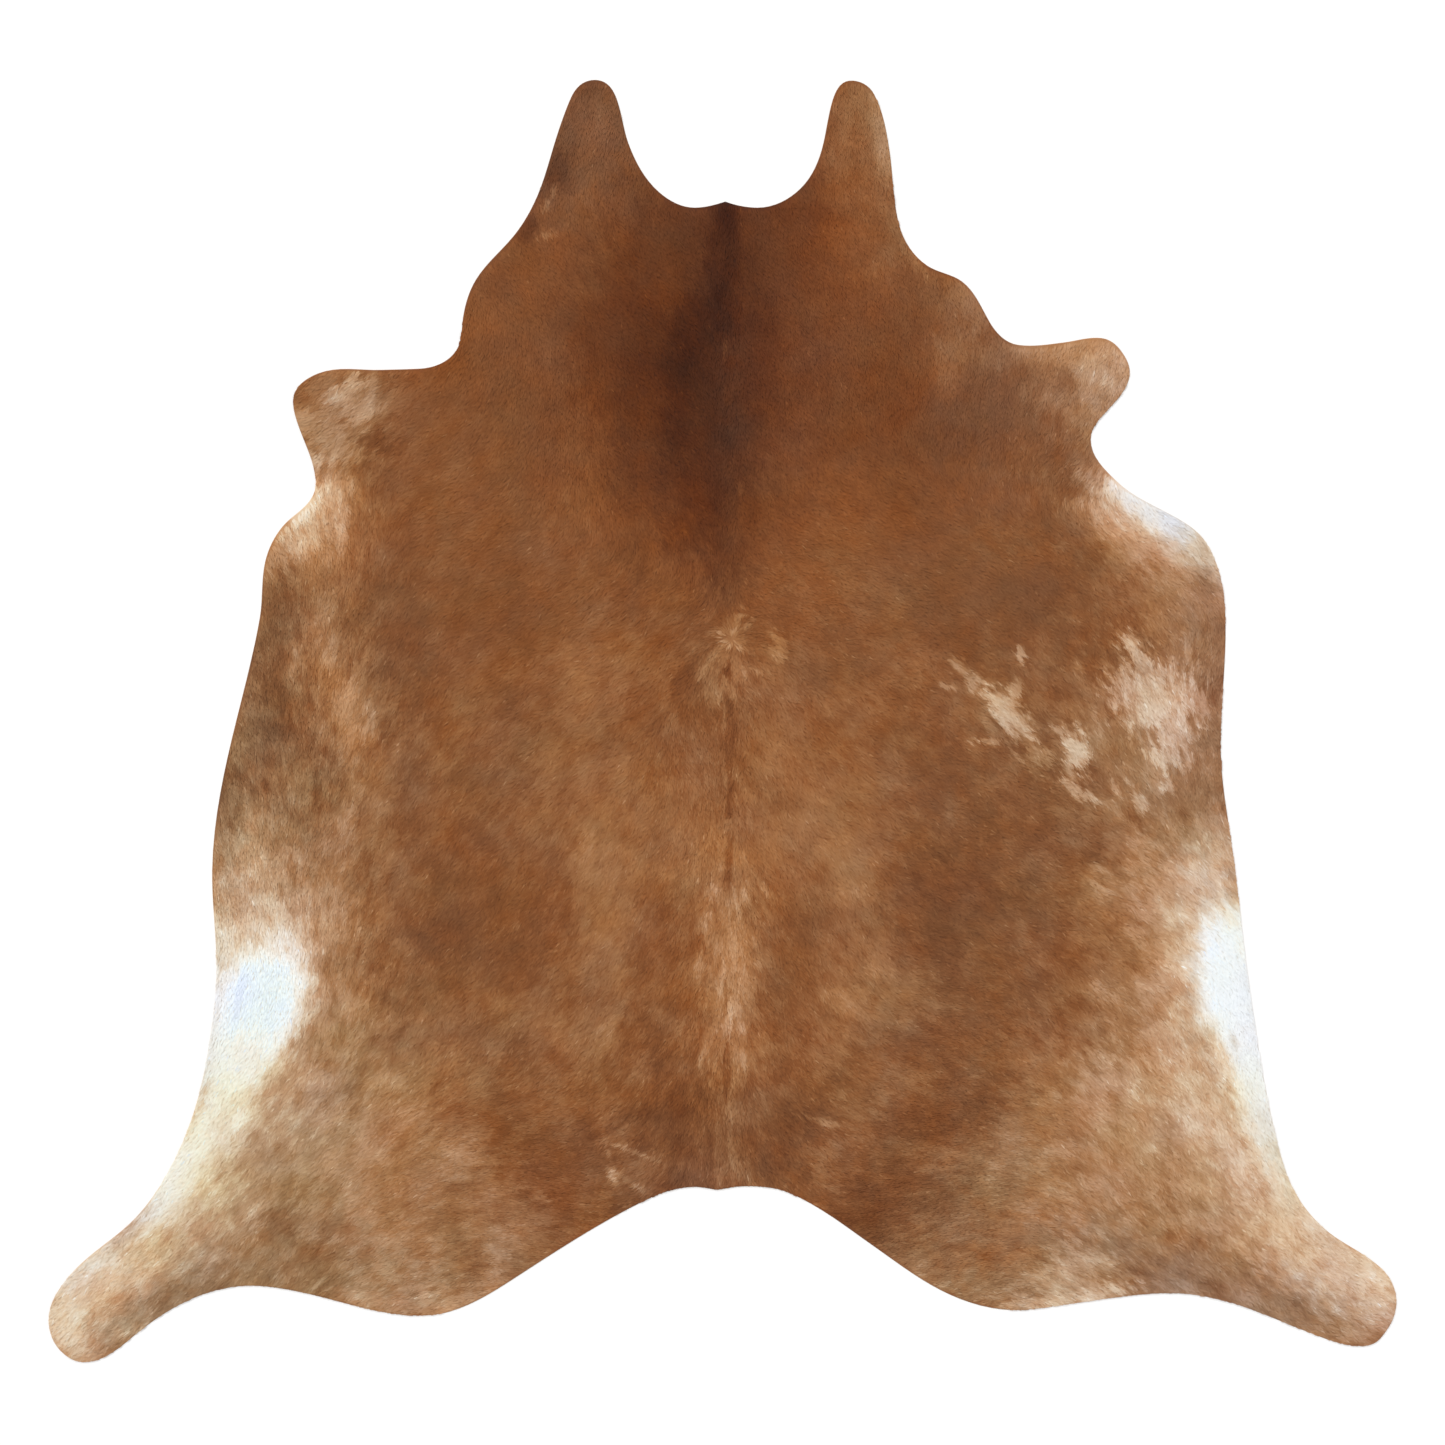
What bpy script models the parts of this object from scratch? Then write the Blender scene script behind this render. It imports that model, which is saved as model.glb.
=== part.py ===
"""A cowhide rug: one whole hide, dressed with its hair on, lying flat on a floor hair side up.

The hide is a single sheet. Its outline is cut with smooth curves round two neck flaps, two forelegs
and two hind legs, with a small point in the middle of the neck and another where the tail was. The
left and the right side differ, as they do on any animal.

Lengths are in metres, +Z is up and +Y points to the neck. The origin is under the middle of the
rug, on the floor.
"""

import math
from collections import namedtuple

import bpy
from mathutils import Vector

MM = 0.001

# The sheet: leather, and the coat of short hair that lies on it
LEATHER_THICKNESS = 2.0 * MM
COAT_THICKNESS = 2.5 * MM
RIM_ROUNDING = 1.0 * MM

# How finely the outline's curves are drawn: straight steps between two landmarks
STEPS_BETWEEN_LANDMARKS = 8

COAT_COLOUR = (0.250, 0.090, 0.033, 1.0)
COAT_ROUGHNESS = 0.72

# A landmark of the outline. across is millimetres to the right of the middle of the rug and along
# is millimetres from there towards the neck. The outline is followed clockwise, seen from above,
# and heading is the way it runs there, in degrees: 0 to the right, 90 to the neck, -90 to the tail.
# A landmark with a second heading is a corner, and the outline leaves it that way.
Landmark = namedtuple("Landmark", "name across along heading leaving", defaults=[None])

RIGHT_NECK_FLAP = (
    Landmark("point of the neck", 4, 852, 18, -20),
    Landmark("dip beside the point", 57, 842, 0),
    Landmark("bend into the flap", 127, 873, 44),
    Landmark("inner side", 165, 948, 77),
    Landmark("inner side, upper", 180, 1018, 73),
    Landmark("crown", 207, 1050, 6),
    Landmark("outer corner", 248, 1028, -62),
    Landmark("outer side", 273, 937, -81),
    Landmark("foot of the outer side", 289, 814, -75),
)

RIGHT_FORELEG = (
    Landmark("neck hollow", 335, 747, -34),
    Landmark("shoulder", 392, 721, -37),
    Landmark("slope to the leg", 437, 655, -60),
    Landmark("hollow before the leg", 484, 617, -8),
    Landmark("front of the leg", 559, 621, 7),
    Landmark("front corner", 622, 628, -8),
    Landmark("tip", 653, 607, -54),
    Landmark("back corner", 667, 568, -96),
    Landmark("back of the leg", 638, 518, -132),
    Landmark("hollow behind the leg", 603, 462, -90),
)

RIGHT_FLANK = (
    Landmark("elbow", 646, 393, -44),
    Landmark("front of the belly", 730, 341, -28),
    Landmark("shoulder of the belly", 792, 293, -57),
    Landmark("fullest part", 824, 136, -91),
    Landmark("waist", 816, -39, -90),
    Landmark("rear of the belly", 835, -208, -82),
    Landmark("flank fold", 861, -424, -82),
)

RIGHT_HIND_LEG = (
    Landmark("front of the thigh", 905, -675, -77),
    Landmark("bend of the thigh", 949, -790, -55),
    Landmark("knee", 990, -835, -40),
    Landmark("shank", 1051, -875, -34),
    Landmark("upper corner", 1090, -909, -55),
    Landmark("tip", 1104, -953, -91),
    Landmark("lower corner", 1077, -1012, -132),
    Landmark("lowest place", 1046, -1024, 180),
    Landmark("back of the shank", 954, -999, 159),
    Landmark("back of the thigh", 815, -948, 167),
)

RUMP = (
    Landmark("bay under the right thigh", 736, -937, 180),
    Landmark("run to the right buttock", 561, -956, -172),
    Landmark("right buttock", 477, -965, 179),
    Landmark("inside of the right buttock", 340, -923, 150),
    Landmark("slope beside the tail, right", 247, -860, 145),
    Landmark("bend beside the tail, right", 109, -773, 157),
    Landmark("root of the tail, right", 34, -762, -179),
    Landmark("point of the tail", -9, -768, -171, 172),
    Landmark("root of the tail, left", -48, -763, -179),
    Landmark("bend beside the tail, left", -127, -785, -154),
    Landmark("inside of the left buttock", -342, -913, -147),
    Landmark("slope to the left buttock", -446, -967, -163),
    Landmark("left buttock", -500, -974, 180),
    Landmark("run to the left thigh", -676, -939, 167),
    Landmark("bay under the left thigh", -767, -925, 178),
)

LEFT_HIND_LEG = (
    Landmark("back of the thigh", -867, -945, -157),
    Landmark("back of the shank", -954, -998, -142),
    Landmark("lower corner", -1016, -1043, -156),
    Landmark("lowest place", -1051, -1050, 176),
    Landmark("tip, lower", -1082, -1035, 138),
    Landmark("tip", -1105, -981, 90),
    Landmark("upper corner", -1071, -909, 50),
    Landmark("shank", -984, -834, 40),
    Landmark("bend of the thigh", -908, -737, 61),
    Landmark("front of the thigh", -846, -555, 80),
)

LEFT_FLANK = (
    Landmark("flank fold", -830, -391, 91),
    Landmark("fullest part", -837, -244, 89),
    Landmark("middle of the belly", -797, 3, 76),
    Landmark("front of the belly", -759, 169, 80),
    Landmark("shoulder of the belly", -750, 262, 77),
    Landmark("bend to the elbow", -721, 320, 50),
)

LEFT_FORELEG = (
    Landmark("hollow behind the leg", -679, 359, 52),
    Landmark("elbow", -667, 391, 92),
    Landmark("back of the leg", -700, 498, 106),
    Landmark("back corner", -704, 529, 84),
    Landmark("tip", -664, 570, 22),
    Landmark("front of the leg", -559, 576, 2),
    Landmark("root of the leg", -497, 578, 3),
    Landmark("hollow before the leg", -437, 608, 57),
    Landmark("slope to the shoulder", -426, 660, 82),
    Landmark("shoulder", -404, 725, 58),
)

LEFT_NECK_FLAP = (
    Landmark("neck hollow", -345, 793, 50),
    Landmark("foot of the outer side", -310, 848, 64),
    Landmark("outer side", -268, 972, 71),
    Landmark("outer side, upper", -249, 1022, 66),
    Landmark("outer corner", -220, 1050, 14),
    Landmark("crown", -190, 1045, -38),
    Landmark("inner corner", -171, 1011, -73),
    Landmark("inner side", -155, 948, -70),
    Landmark("bend into the notch", -104, 867, -41),
    Landmark("dip beside the point", -46, 842, 0),
)

OUTLINE = (
    RIGHT_NECK_FLAP
    + RIGHT_FORELEG
    + RIGHT_FLANK
    + RIGHT_HIND_LEG
    + RUMP
    + LEFT_HIND_LEG
    + LEFT_FLANK
    + LEFT_FORELEG
    + LEFT_NECK_FLAP
)


def clear_scene():
    for obj in list(bpy.data.objects):
        bpy.data.objects.remove(obj, do_unlink=True)


def place(landmark):
    return Vector((landmark.across * MM, landmark.along * MM, 0.0))


def direction(degrees):
    angle = math.radians(degrees)
    return Vector((math.cos(angle), math.sin(angle), 0.0))


def leaving_heading(landmark):
    return landmark.heading if landmark.leaving is None else landmark.leaving


def reach(start, end):
    """The length of the two handles between landmarks: the one that draws a round arc.

    An arc that turns by an angle has handles of chord / (3 cos^2(angle / 4)).
    """
    chord = (place(end) - place(start)).length
    turn = math.radians(end.heading - leaving_heading(start))
    turn = math.remainder(turn, 2 * math.pi)
    return chord / (3 * math.cos(turn / 4) ** 2)


def outline_curve(name, landmarks):
    """A closed flat curve through the landmarks, running at each one in its heading."""
    curve = bpy.data.curves.new(name, "CURVE")
    curve.dimensions = "2D"
    curve.fill_mode = "BOTH"
    curve.resolution_u = STEPS_BETWEEN_LANDMARKS
    spline = curve.splines.new("BEZIER")
    spline.use_cyclic_u = True
    spline.bezier_points.add(len(landmarks) - 1)
    for i, (point, landmark) in enumerate(zip(spline.bezier_points, landmarks)):
        before = landmarks[i - 1]
        after = landmarks[(i + 1) % len(landmarks)]
        here = place(landmark)
        point.handle_left_type = "FREE"
        point.handle_right_type = "FREE"
        point.co = here
        point.handle_left = here - direction(landmark.heading) * reach(before, landmark)
        point.handle_right = here + direction(leaving_heading(landmark)) * reach(landmark, after)
    return curve


def coat_material():
    material = bpy.data.materials.new("brown hair coat")
    material.use_nodes = True
    shader = material.node_tree.nodes["Principled BSDF"]
    shader.inputs["Base Color"].default_value = COAT_COLOUR
    shader.inputs["Roughness"].default_value = COAT_ROUGHNESS
    shader.inputs["Metallic"].default_value = 0.0
    return material


def make_hide(collection):
    """The whole hide: the outline given its thickness, with a rounded rim, standing on the floor."""
    thickness = LEATHER_THICKNESS + COAT_THICKNESS
    curve = outline_curve("hide", OUTLINE)
    curve.extrude = thickness / 2 - RIM_ROUNDING
    curve.bevel_depth = RIM_ROUNDING
    curve.bevel_resolution = 0
    curve.offset = -RIM_ROUNDING
    curve.materials.append(coat_material())
    hide = bpy.data.objects.new("hide", curve)
    collection.objects.link(hide)
    bpy.context.view_layer.update()
    corners = [Vector(corner) for corner in hide.bound_box]
    middle = (corners[0] + corners[6]) / 2
    hide.location = (-middle.x, -middle.y, thickness / 2)
    return hide


def main():
    clear_scene()
    collection = bpy.data.collections.new("Cowhide rug")
    bpy.context.scene.collection.children.link(collection)
    make_hide(collection)


main()
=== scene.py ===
"""The looks of a cowhide rug: a tanned skin with a cut edge and a suede underside, under a coat of hair.

The coat is made of locks, small pointed leaves that lie along the hair as it grew on the animal:
down the neck and the spine, out over the flanks, and all round from a whorl behind the shoulders.
Patches set how light the hair is, and guides set which way it lies.

Lengths in the tables, and in the named values that are used times MM, are in millimetres. across is
to the right of the middle of the rug and along is from there towards the neck. Headings and turns
are in degrees: 0 to the right, 90 to the neck.
"""

from collections import namedtuple
from functools import lru_cache

import bpy
import numpy as np
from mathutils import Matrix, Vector
from mathutils.geometry import delaunay_2d_cdt


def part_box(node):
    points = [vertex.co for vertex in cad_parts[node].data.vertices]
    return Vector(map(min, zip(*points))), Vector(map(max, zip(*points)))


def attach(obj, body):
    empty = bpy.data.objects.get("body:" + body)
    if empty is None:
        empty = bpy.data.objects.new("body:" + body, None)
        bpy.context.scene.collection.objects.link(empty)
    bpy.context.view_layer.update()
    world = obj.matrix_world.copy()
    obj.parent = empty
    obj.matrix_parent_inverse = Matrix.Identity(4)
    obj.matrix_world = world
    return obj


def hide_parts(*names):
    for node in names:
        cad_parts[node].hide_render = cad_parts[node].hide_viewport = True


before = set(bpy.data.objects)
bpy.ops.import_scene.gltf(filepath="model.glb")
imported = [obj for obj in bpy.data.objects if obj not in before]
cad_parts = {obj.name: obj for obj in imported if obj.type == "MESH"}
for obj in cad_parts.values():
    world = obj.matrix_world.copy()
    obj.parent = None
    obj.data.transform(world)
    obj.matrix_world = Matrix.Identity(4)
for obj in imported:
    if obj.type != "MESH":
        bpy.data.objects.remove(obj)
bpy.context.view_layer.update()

bl_info = {
    "name": "Cowhide Rug Looks",
    "version": (1, 0, 0),
    "blender": (4, 5, 0),
    "location": "3D View > Sidebar > Cowhide Rug",
    "description": "Makes the skin, the hair coat and the stage of a cowhide rug",
    "category": "Object",
}

MM = 0.001
LOW, HIGH = (np.array(corner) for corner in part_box("hide"))

# How the hair lies: a guide's heading holds within about its reach
Lay = namedtuple("Lay", "place across along heading reach", defaults=[120])

RIGHT_LAY = (
    Lay("neck flap", 230, 950, -80),
    Lay("neck", 130, 750, -65),
    Lay("foot of the neck", 110, 530, -70),
    Lay("shoulder", 290, 620, -75),
    Lay("outer shoulder", 420, 490, -100),
    Lay("foreleg", 600, 570, -108, 80),
    Lay("elbow pit", 590, 410, -140, 60),
    Lay("front of the belly", 670, 300, -45),
    Lay("behind the shoulder", 290, 330, -35),
    Lay("ribs beside the whorl", 290, 200, -25),
    Lay("upper ribs", 450, 200, -35),
    Lay("lower ribs", 440, 20, -42),
    Lay("belly", 620, 130, -55),
    Lay("edge of the belly", 720, 0, -65),
    Lay("turned edge, upper", 795, 100, -120, 50),
    Lay("turned edge, lower", 800, -100, -100, 50),
    Lay("loin", 260, -130, -35),
    Lay("flank, upper", 450, -210, -33),
    Lay("flank, outer", 600, -260, -28),
    Lay("flank, lower", 650, -410, -38),
    Lay("flank, edge", 770, -230, -55),
    Lay("white edge", 780, -460, -65, 80),
    Lay("thigh, edge", 860, -590, -68, 80),
    Lay("thigh", 670, -700, -50),
    Lay("thigh, outer", 780, -770, -53),
    Lay("knee", 880, -740, -58),
    Lay("shank", 950, -870, -42),
    Lay("hind foot", 1060, -930, -30),
    Lay("lower edge of the thigh", 780, -900, -38),
    Lay("haunch", 550, -510, -50),
    Lay("hip", 390, -510, -20),
    Lay("buttock, upper", 450, -670, -12),
    Lay("buttock, outer", 590, -880, -30),
    Lay("buttock, lower", 370, -850, 15),
    Lay("buttock, inner", 260, -800, 10),
    Lay("rump", 220, -650, -18),
    Lay("beside the tail", 110, -640, -45),
    Lay("root of the tail", 60, -720, -60),
    Lay("croup", 130, -460, -55),
    Lay("beside the spine, lower", 110, -290, -60),
    Lay("beside the spine, upper", 80, -60, -65),
    Lay("fan right of the whorl", 210, 30, -35),
)

LEFT_LAY = (
    Lay("neck flap", -210, 970, -95),
    Lay("neck", -200, 710, -55),
    Lay("foot of the neck", -130, 460, -55),
    Lay("shoulder", -300, 480, -90),
    Lay("outer shoulder", -410, 400, -150),
    Lay("foreleg", -610, 530, -132),
    Lay("foreleg, outer", -680, 460, -155, 80),
    Lay("elbow", -640, 350, -60, 80),
    Lay("front of the belly", -710, 260, -55),
    Lay("ribs, outer", -620, 180, -95),
    Lay("edge of the belly", -710, 30, -65),
    Lay("edge of the belly, lower", -770, -100, -62),
    Lay("belly", -620, 30, -105),
    Lay("lower ribs", -530, 30, -120),
    Lay("upper ribs", -530, 200, -130),
    Lay("ribs", -400, 160, -145),
    Lay("ribs beside the whorl", -270, 130, -140),
    Lay("beside the whorl", -140, 100, -135, 80),
    Lay("loin", -330, -60, -135),
    Lay("flank, upper", -510, -100, -125),
    Lay("flank", -640, -200, -115),
    Lay("flank, edge", -760, -230, -75, 80),
    Lay("above the white patch", -700, -340, -62, 80),
    Lay("white patch", -670, -430, -85, 80),
    Lay("below the white patch", -710, -540, -108, 80),
    Lay("white patch, edge", -790, -460, -100, 80),
    Lay("thigh, edge", -820, -600, -115, 80),
    Lay("haunch, outer", -590, -390, -112),
    Lay("haunch, upper", -460, -290, -125),
    Lay("beside the spine", -270, -260, -125),
    Lay("beside the spine, upper", -120, -290, -115),
    Lay("croup", -120, -460, -118),
    Lay("hip", -270, -460, -130),
    Lay("haunch", -450, -470, -125),
    Lay("thigh, outer", -790, -650, -125),
    Lay("knee", -860, -770, -128),
    Lay("shank", -940, -850, -135),
    Lay("hind foot", -1040, -950, -138),
    Lay("lower edge of the shank", -900, -950, -135),
    Lay("lower edge of the thigh", -740, -820, -130),
    Lay("thigh", -610, -640, -130),
    Lay("buttock, outer", -550, -750, -148),
    Lay("buttock, lower", -460, -880, -160),
    Lay("buttock, upper", -360, -740, -175),
    Lay("buttock, inner", -270, -830, 165),
    Lay("beside the tail", -170, -700, -150),
    Lay("root of the tail", -50, -650, -110),
)

# Down the spine the hair runs straight to the tail, and round the whorl it runs outward
SPINE_ACROSS = 6
SPINE_HALF_WIDTH = 26
WHORL_ACROSS = 17
WHORL_ALONG = 133
WHORL_RADIUS = 50

# A guide's faint pull far off, which counts only where no guide is near
FAR_PULL = 1e-6
FAR_REACHES = 3

# How light the hair is: 0 is nearly black, 0.3 chestnut, 0.55 golden brown, 0.8 cream, 0.95 white and
# 1 white in shade. A patch is an ellipse, turned so that its length runs at turn. soft is the share of
# its radius over which it fades, and ragged is how far its edge follows the streaks of the hair.
Patch = namedtuple("Patch", "place across along length width turn tone soft ragged", defaults=[1.0, 0.1])

BASE_TONE = 0.44

NECK_PATCHES = (
    Patch("neck and shoulders", 20, 610, 930, 920, 90, 0.33, 1.4),
    Patch("left withers", -225, 300, 360, 190, 75, 0.42, 1.3),
    Patch("right withers", 215, 285, 170, 120, 80, 0.43, 1.2),
    Patch("edge of the left shoulder", -405, 680, 150, 70, 65, 0.40),
    Patch("edge of the right shoulder", 390, 640, 170, 80, -50, 0.44),
    Patch("left flap", -215, 950, 170, 120, 75, 0.38),
    Patch("left flap, outer edge", -288, 890, 120, 30, 70, 0.32),
    Patch("left flap, tip", -215, 1040, 70, 40, 0, 0.33),
    Patch("left flap, inner", -165, 900, 90, 36, -60, 0.38),
    Patch("left flap, golden band", -208, 962, 100, 40, 75, 0.43, 1.1),
    Patch("left flap, foot", -224, 872, 110, 70, 70, 0.41, 1.1),
    Patch("left flap, dark mark", -270, 903, 68, 46, 70, 0.25, 1.0),
    Patch("right flap", 205, 980, 170, 110, 75, 0.47),
    Patch("right flap, foot", 230, 850, 190, 90, 80, 0.42),
    Patch("right flap, outer side", 268, 955, 160, 46, -80, 0.59, 0.9),
    Patch("dark of the neck", -40, 600, 540, 280, 88, 0.19, 1.2),
    Patch("left of the crest, broad", -100, 640, 200, 90, 85, 0.20, 1.3),
    Patch("dark left of the spine", -72, 575, 250, 140, 85, 0.05, 1.2),
    Patch("dark spine of the neck", 5, 765, 260, 60, 90, 0.10, 1.0),
    Patch("neck edge", 60, 835, 190, 40, 0, 0.22, 1.2),
    Patch("crest", 5, 830, 60, 36, 90, 0.05, 1.0),
    Patch("crest, lower", 6, 680, 120, 60, 90, 0.04, 1.0),
    Patch("dark behind the neck", -18, 385, 270, 120, 90, 0.12, 1.1),
    Patch("dark line of the withers", 5, 330, 330, 50, 90, 0.12, 1.1),
    Patch("dark of the right shoulder", 300, 520, 260, 200, 70, 0.30, 1.3),
    Patch("left shoulder, outer", -500, 480, 160, 140, 20, 0.41),
    Patch("hollow of the left shoulder", -430, 400, 130, 90, 20, 0.43),
    # Partly painted shade: right of the spine on the neck the dark hair is made darker and greyer where
    # it lies away from the light.
    Patch("right of the spine, greyish with painted shade", 50, 630, 300, 80, 88, 0.17),
    Patch("left of the crest", -100, 725, 120, 70, 85, 0.26, 1.1),
    Patch("left of the withers", -138, 445, 150, 60, 80, 0.24, 1.1),
    Patch("left of the withers, lower", -140, 290, 110, 60, 80, 0.29, 1.1),
    Patch("left neck, chestnut", -172, 605, 180, 110, 80, 0.235, 1.2),
    Patch("left neck, dark", -130, 590, 170, 60, 85, 0.16, 1.2),
    Patch("left neck edge, dark", -345, 738, 80, 50, 60, 0.34, 1.1),
    Patch("left neck edge, dark spot", -318, 806, 46, 26, 55, 0.25, 0.8),
    Patch("right of the crest", 120, 770, 110, 60, 80, 0.26, 1.1),
    Patch("right neck edge", 135, 872, 70, 30, 50, 0.28, 1.0),
    Patch("right flap, inner edge", 168, 955, 110, 30, 78, 0.40, 1.0),
    Patch("right neck, light", 275, 775, 100, 50, 70, 0.45, 1.1),
    Patch("right neck edge, outer", 287, 838, 90, 34, 80, 0.36, 1.1),
    Patch("right of the withers", 50, 295, 120, 54, 80, 0.28, 1.1),
    Patch("right withers, dark", 135, 218, 90, 60, 0, 0.395, 1.1),
    Patch("right shoulder, light", 372, 600, 120, 60, 80, 0.46, 1.1),
    Patch("left of the whorl, golden", -95, 212, 80, 50, 80, 0.41, 1.1),
    Patch("light streak beside the crest", 5, 605, 30, 7, 88, 0.27, 0.8, 0.3),
    Patch("dark spot above the whorl", 5, 228, 60, 20, 90, 0.14, 0.8),
    Patch("light dry spot", 29, 378, 20, 10, 80, 0.26, 0.9, 0.3),
)

FORELEG_PATCHES = (
    Patch("right foreleg", 605, 575, 160, 130, 0, 0.61),
    Patch("right foreleg, tip", 626, 572, 110, 84, 60, 0.70, 0.8),
    Patch("hollow of the right leg", 560, 550, 80, 50, -60, 0.46, 1.1),
    Patch("right foreleg, front", 580, 614, 130, 24, 5, 0.62, 0.8),
    Patch("right elbow", 600, 500, 120, 60, 65, 0.57, 1.0, 0.4),
    Patch("hollow before the right leg", 512, 608, 130, 40, 5, 0.59, 1.0),
    Patch("right shoulder, brown", 445, 596, 60, 40, 0, 0.44, 1.1),
    Patch("right shoulder, edge", 405, 690, 100, 44, -60, 0.49),
    Patch("before the right elbow", 570, 415, 150, 70, -45, 0.37, 1.0),
    Patch("right elbow, inner", 568, 460, 60, 50, 0, 0.46, 1.1),
    Patch("right neck hollow, edge", 300, 790, 160, 30, -60, 0.47, 0.9),
    Patch("left foreleg", -635, 515, 160, 130, 20, 0.54),
    Patch("left foreleg, cream", -618, 538, 70, 34, 35, 0.70, 0.9, 0.5),
    Patch("left foreleg, peach", -595, 508, 60, 44, 20, 0.64, 1.0, 0.4),
    Patch("left foreleg, front", -573, 546, 36, 16, 70, 0.58, 1.0, 0.4),
    Patch("left foreleg, outer", -685, 488, 60, 40, -60, 0.64, 1.0, 0.4),
    Patch("left foreleg, inner dark", -572, 458, 80, 40, -10, 0.34, 1.0, 0.4),
    Patch("left elbow, brown", -640, 448, 80, 90, 0, 0.60, 1.0, 0.3),
    Patch("left elbow, yellow streak", -668, 428, 60, 22, 0, 0.70, 0.9, 0.4),
    Patch("left elbow, dark", -598, 412, 50, 24, 10, 0.40, 1.0, 0.4),
    Patch("left elbow, golden", -678, 298, 150, 116, 30, 0.60, 1.0, 0.15),
    Patch("left belly, front edge", -738, 262, 60, 40, 60, 0.60, 1.0),
    Patch("left elbow, peach", -650, 334, 148, 92, 70, 0.735, 1.0, 0.12),
    Patch("left elbow, light", -672, 305, 96, 60, 10, 0.74, 0.9, 0.2),
    Patch("left elbow, inner brown", -598, 318, 90, 34, 90, 0.45, 1.1, 0.2),
    Patch("left elbow, pale edge", -683, 345, 90, 26, 50, 0.85, 0.9, 0.2),
)

SPINE_PATCHES = (
    Patch("back behind the whorl", 40, 20, 420, 380, 90, 0.45, 1.4),
    Patch("golden back", 0, -190, 480, 190, 0, 0.49, 1.3),
    Patch("left loin, golden", -225, 50, 240, 120, 80, 0.475, 1.2),
    Patch("left back, golden", -200, -300, 230, 100, 90, 0.525, 1.2),
    Patch("right back, golden", 230, -250, 340, 100, 90, 0.505, 1.2),
    Patch("right back, golden edge", 325, -240, 130, 56, 85, 0.50, 1.1),
    Patch("right loin, golden", 282, -110, 140, 60, 80, 0.49, 1.1),
    Patch("dark of the left loin", -120, 0, 130, 80, 90, 0.41, 1.2),
    Patch("left loin, light", -85, 60, 90, 50, 90, 0.46, 1.1),
    # Golden hair with a painted highlight: the pale line down the ridge of the spine where the hair
    # parts.
    Patch("golden spine with painted highlight", 14, -410, 310, 80, 90, 0.57, 1.0, 0.25),
    Patch("golden spine with painted highlight, middle", 8, -482, 76, 40, 90, 0.51, 1.2),
    Patch("golden fan", 10, -530, 110, 80, 0, 0.53, 1.1, 0.4),
    Patch("golden fan, left", -30, -540, 56, 26, 80, 0.46, 1.1),
    Patch("back, golden spot", -27, -182, 60, 40, 90, 0.53, 1.1),
    Patch("beside the golden spine with painted highlight, left", -110, -450, 200, 90, 85, 0.39, 1.2),
    Patch("beside the golden spine with painted highlight, right", 130, -430, 210, 80, -85, 0.39, 1.2),
    Patch("below the whorl", -20, -15, 220, 110, 90, 0.39, 1.3),
    Patch("right of the withers, lower", 34, 300, 100, 46, 80, 0.27, 1.1),
    Patch("fan of the whorl", 0, 72, 90, 72, 90, 0.483, 1.1, 0.5),
    Patch("whorl, light", 18, 140, 70, 50, 60, 0.47, 1.0, 0.6),
    Patch("whorl, dark middle", 10, 80, 28, 15, 90, 0.30, 0.8, 0.5),
    Patch("left of the whorl, dark", -60, 66, 60, 36, 75, 0.34),
    Patch("right of the whorl, light", 94, 122, 50, 27, -75, 0.55, 0.6, 0.5),
    Patch("right of the whorl, dark", 165, 90, 110, 70, 80, 0.39, 1.2),
    Patch("dark line below the whorl", 11, -46, 190, 13, 90, 0.36, 0.8, 0.4),
    Patch("dark line on the back", 12, -218, 80, 9, 90, 0.41, 0.8, 0.4),
    Patch("dark line on the croup", 7, -580, 90, 10, 90, 0.37, 0.8, 0.4),
    # Painted highlight: the pale line where the hair parts goes on above the tail.
    Patch("pale streak above the tail", 7, -690, 120, 34, 90, 0.47, 1.0, 0.6),
)

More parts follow.
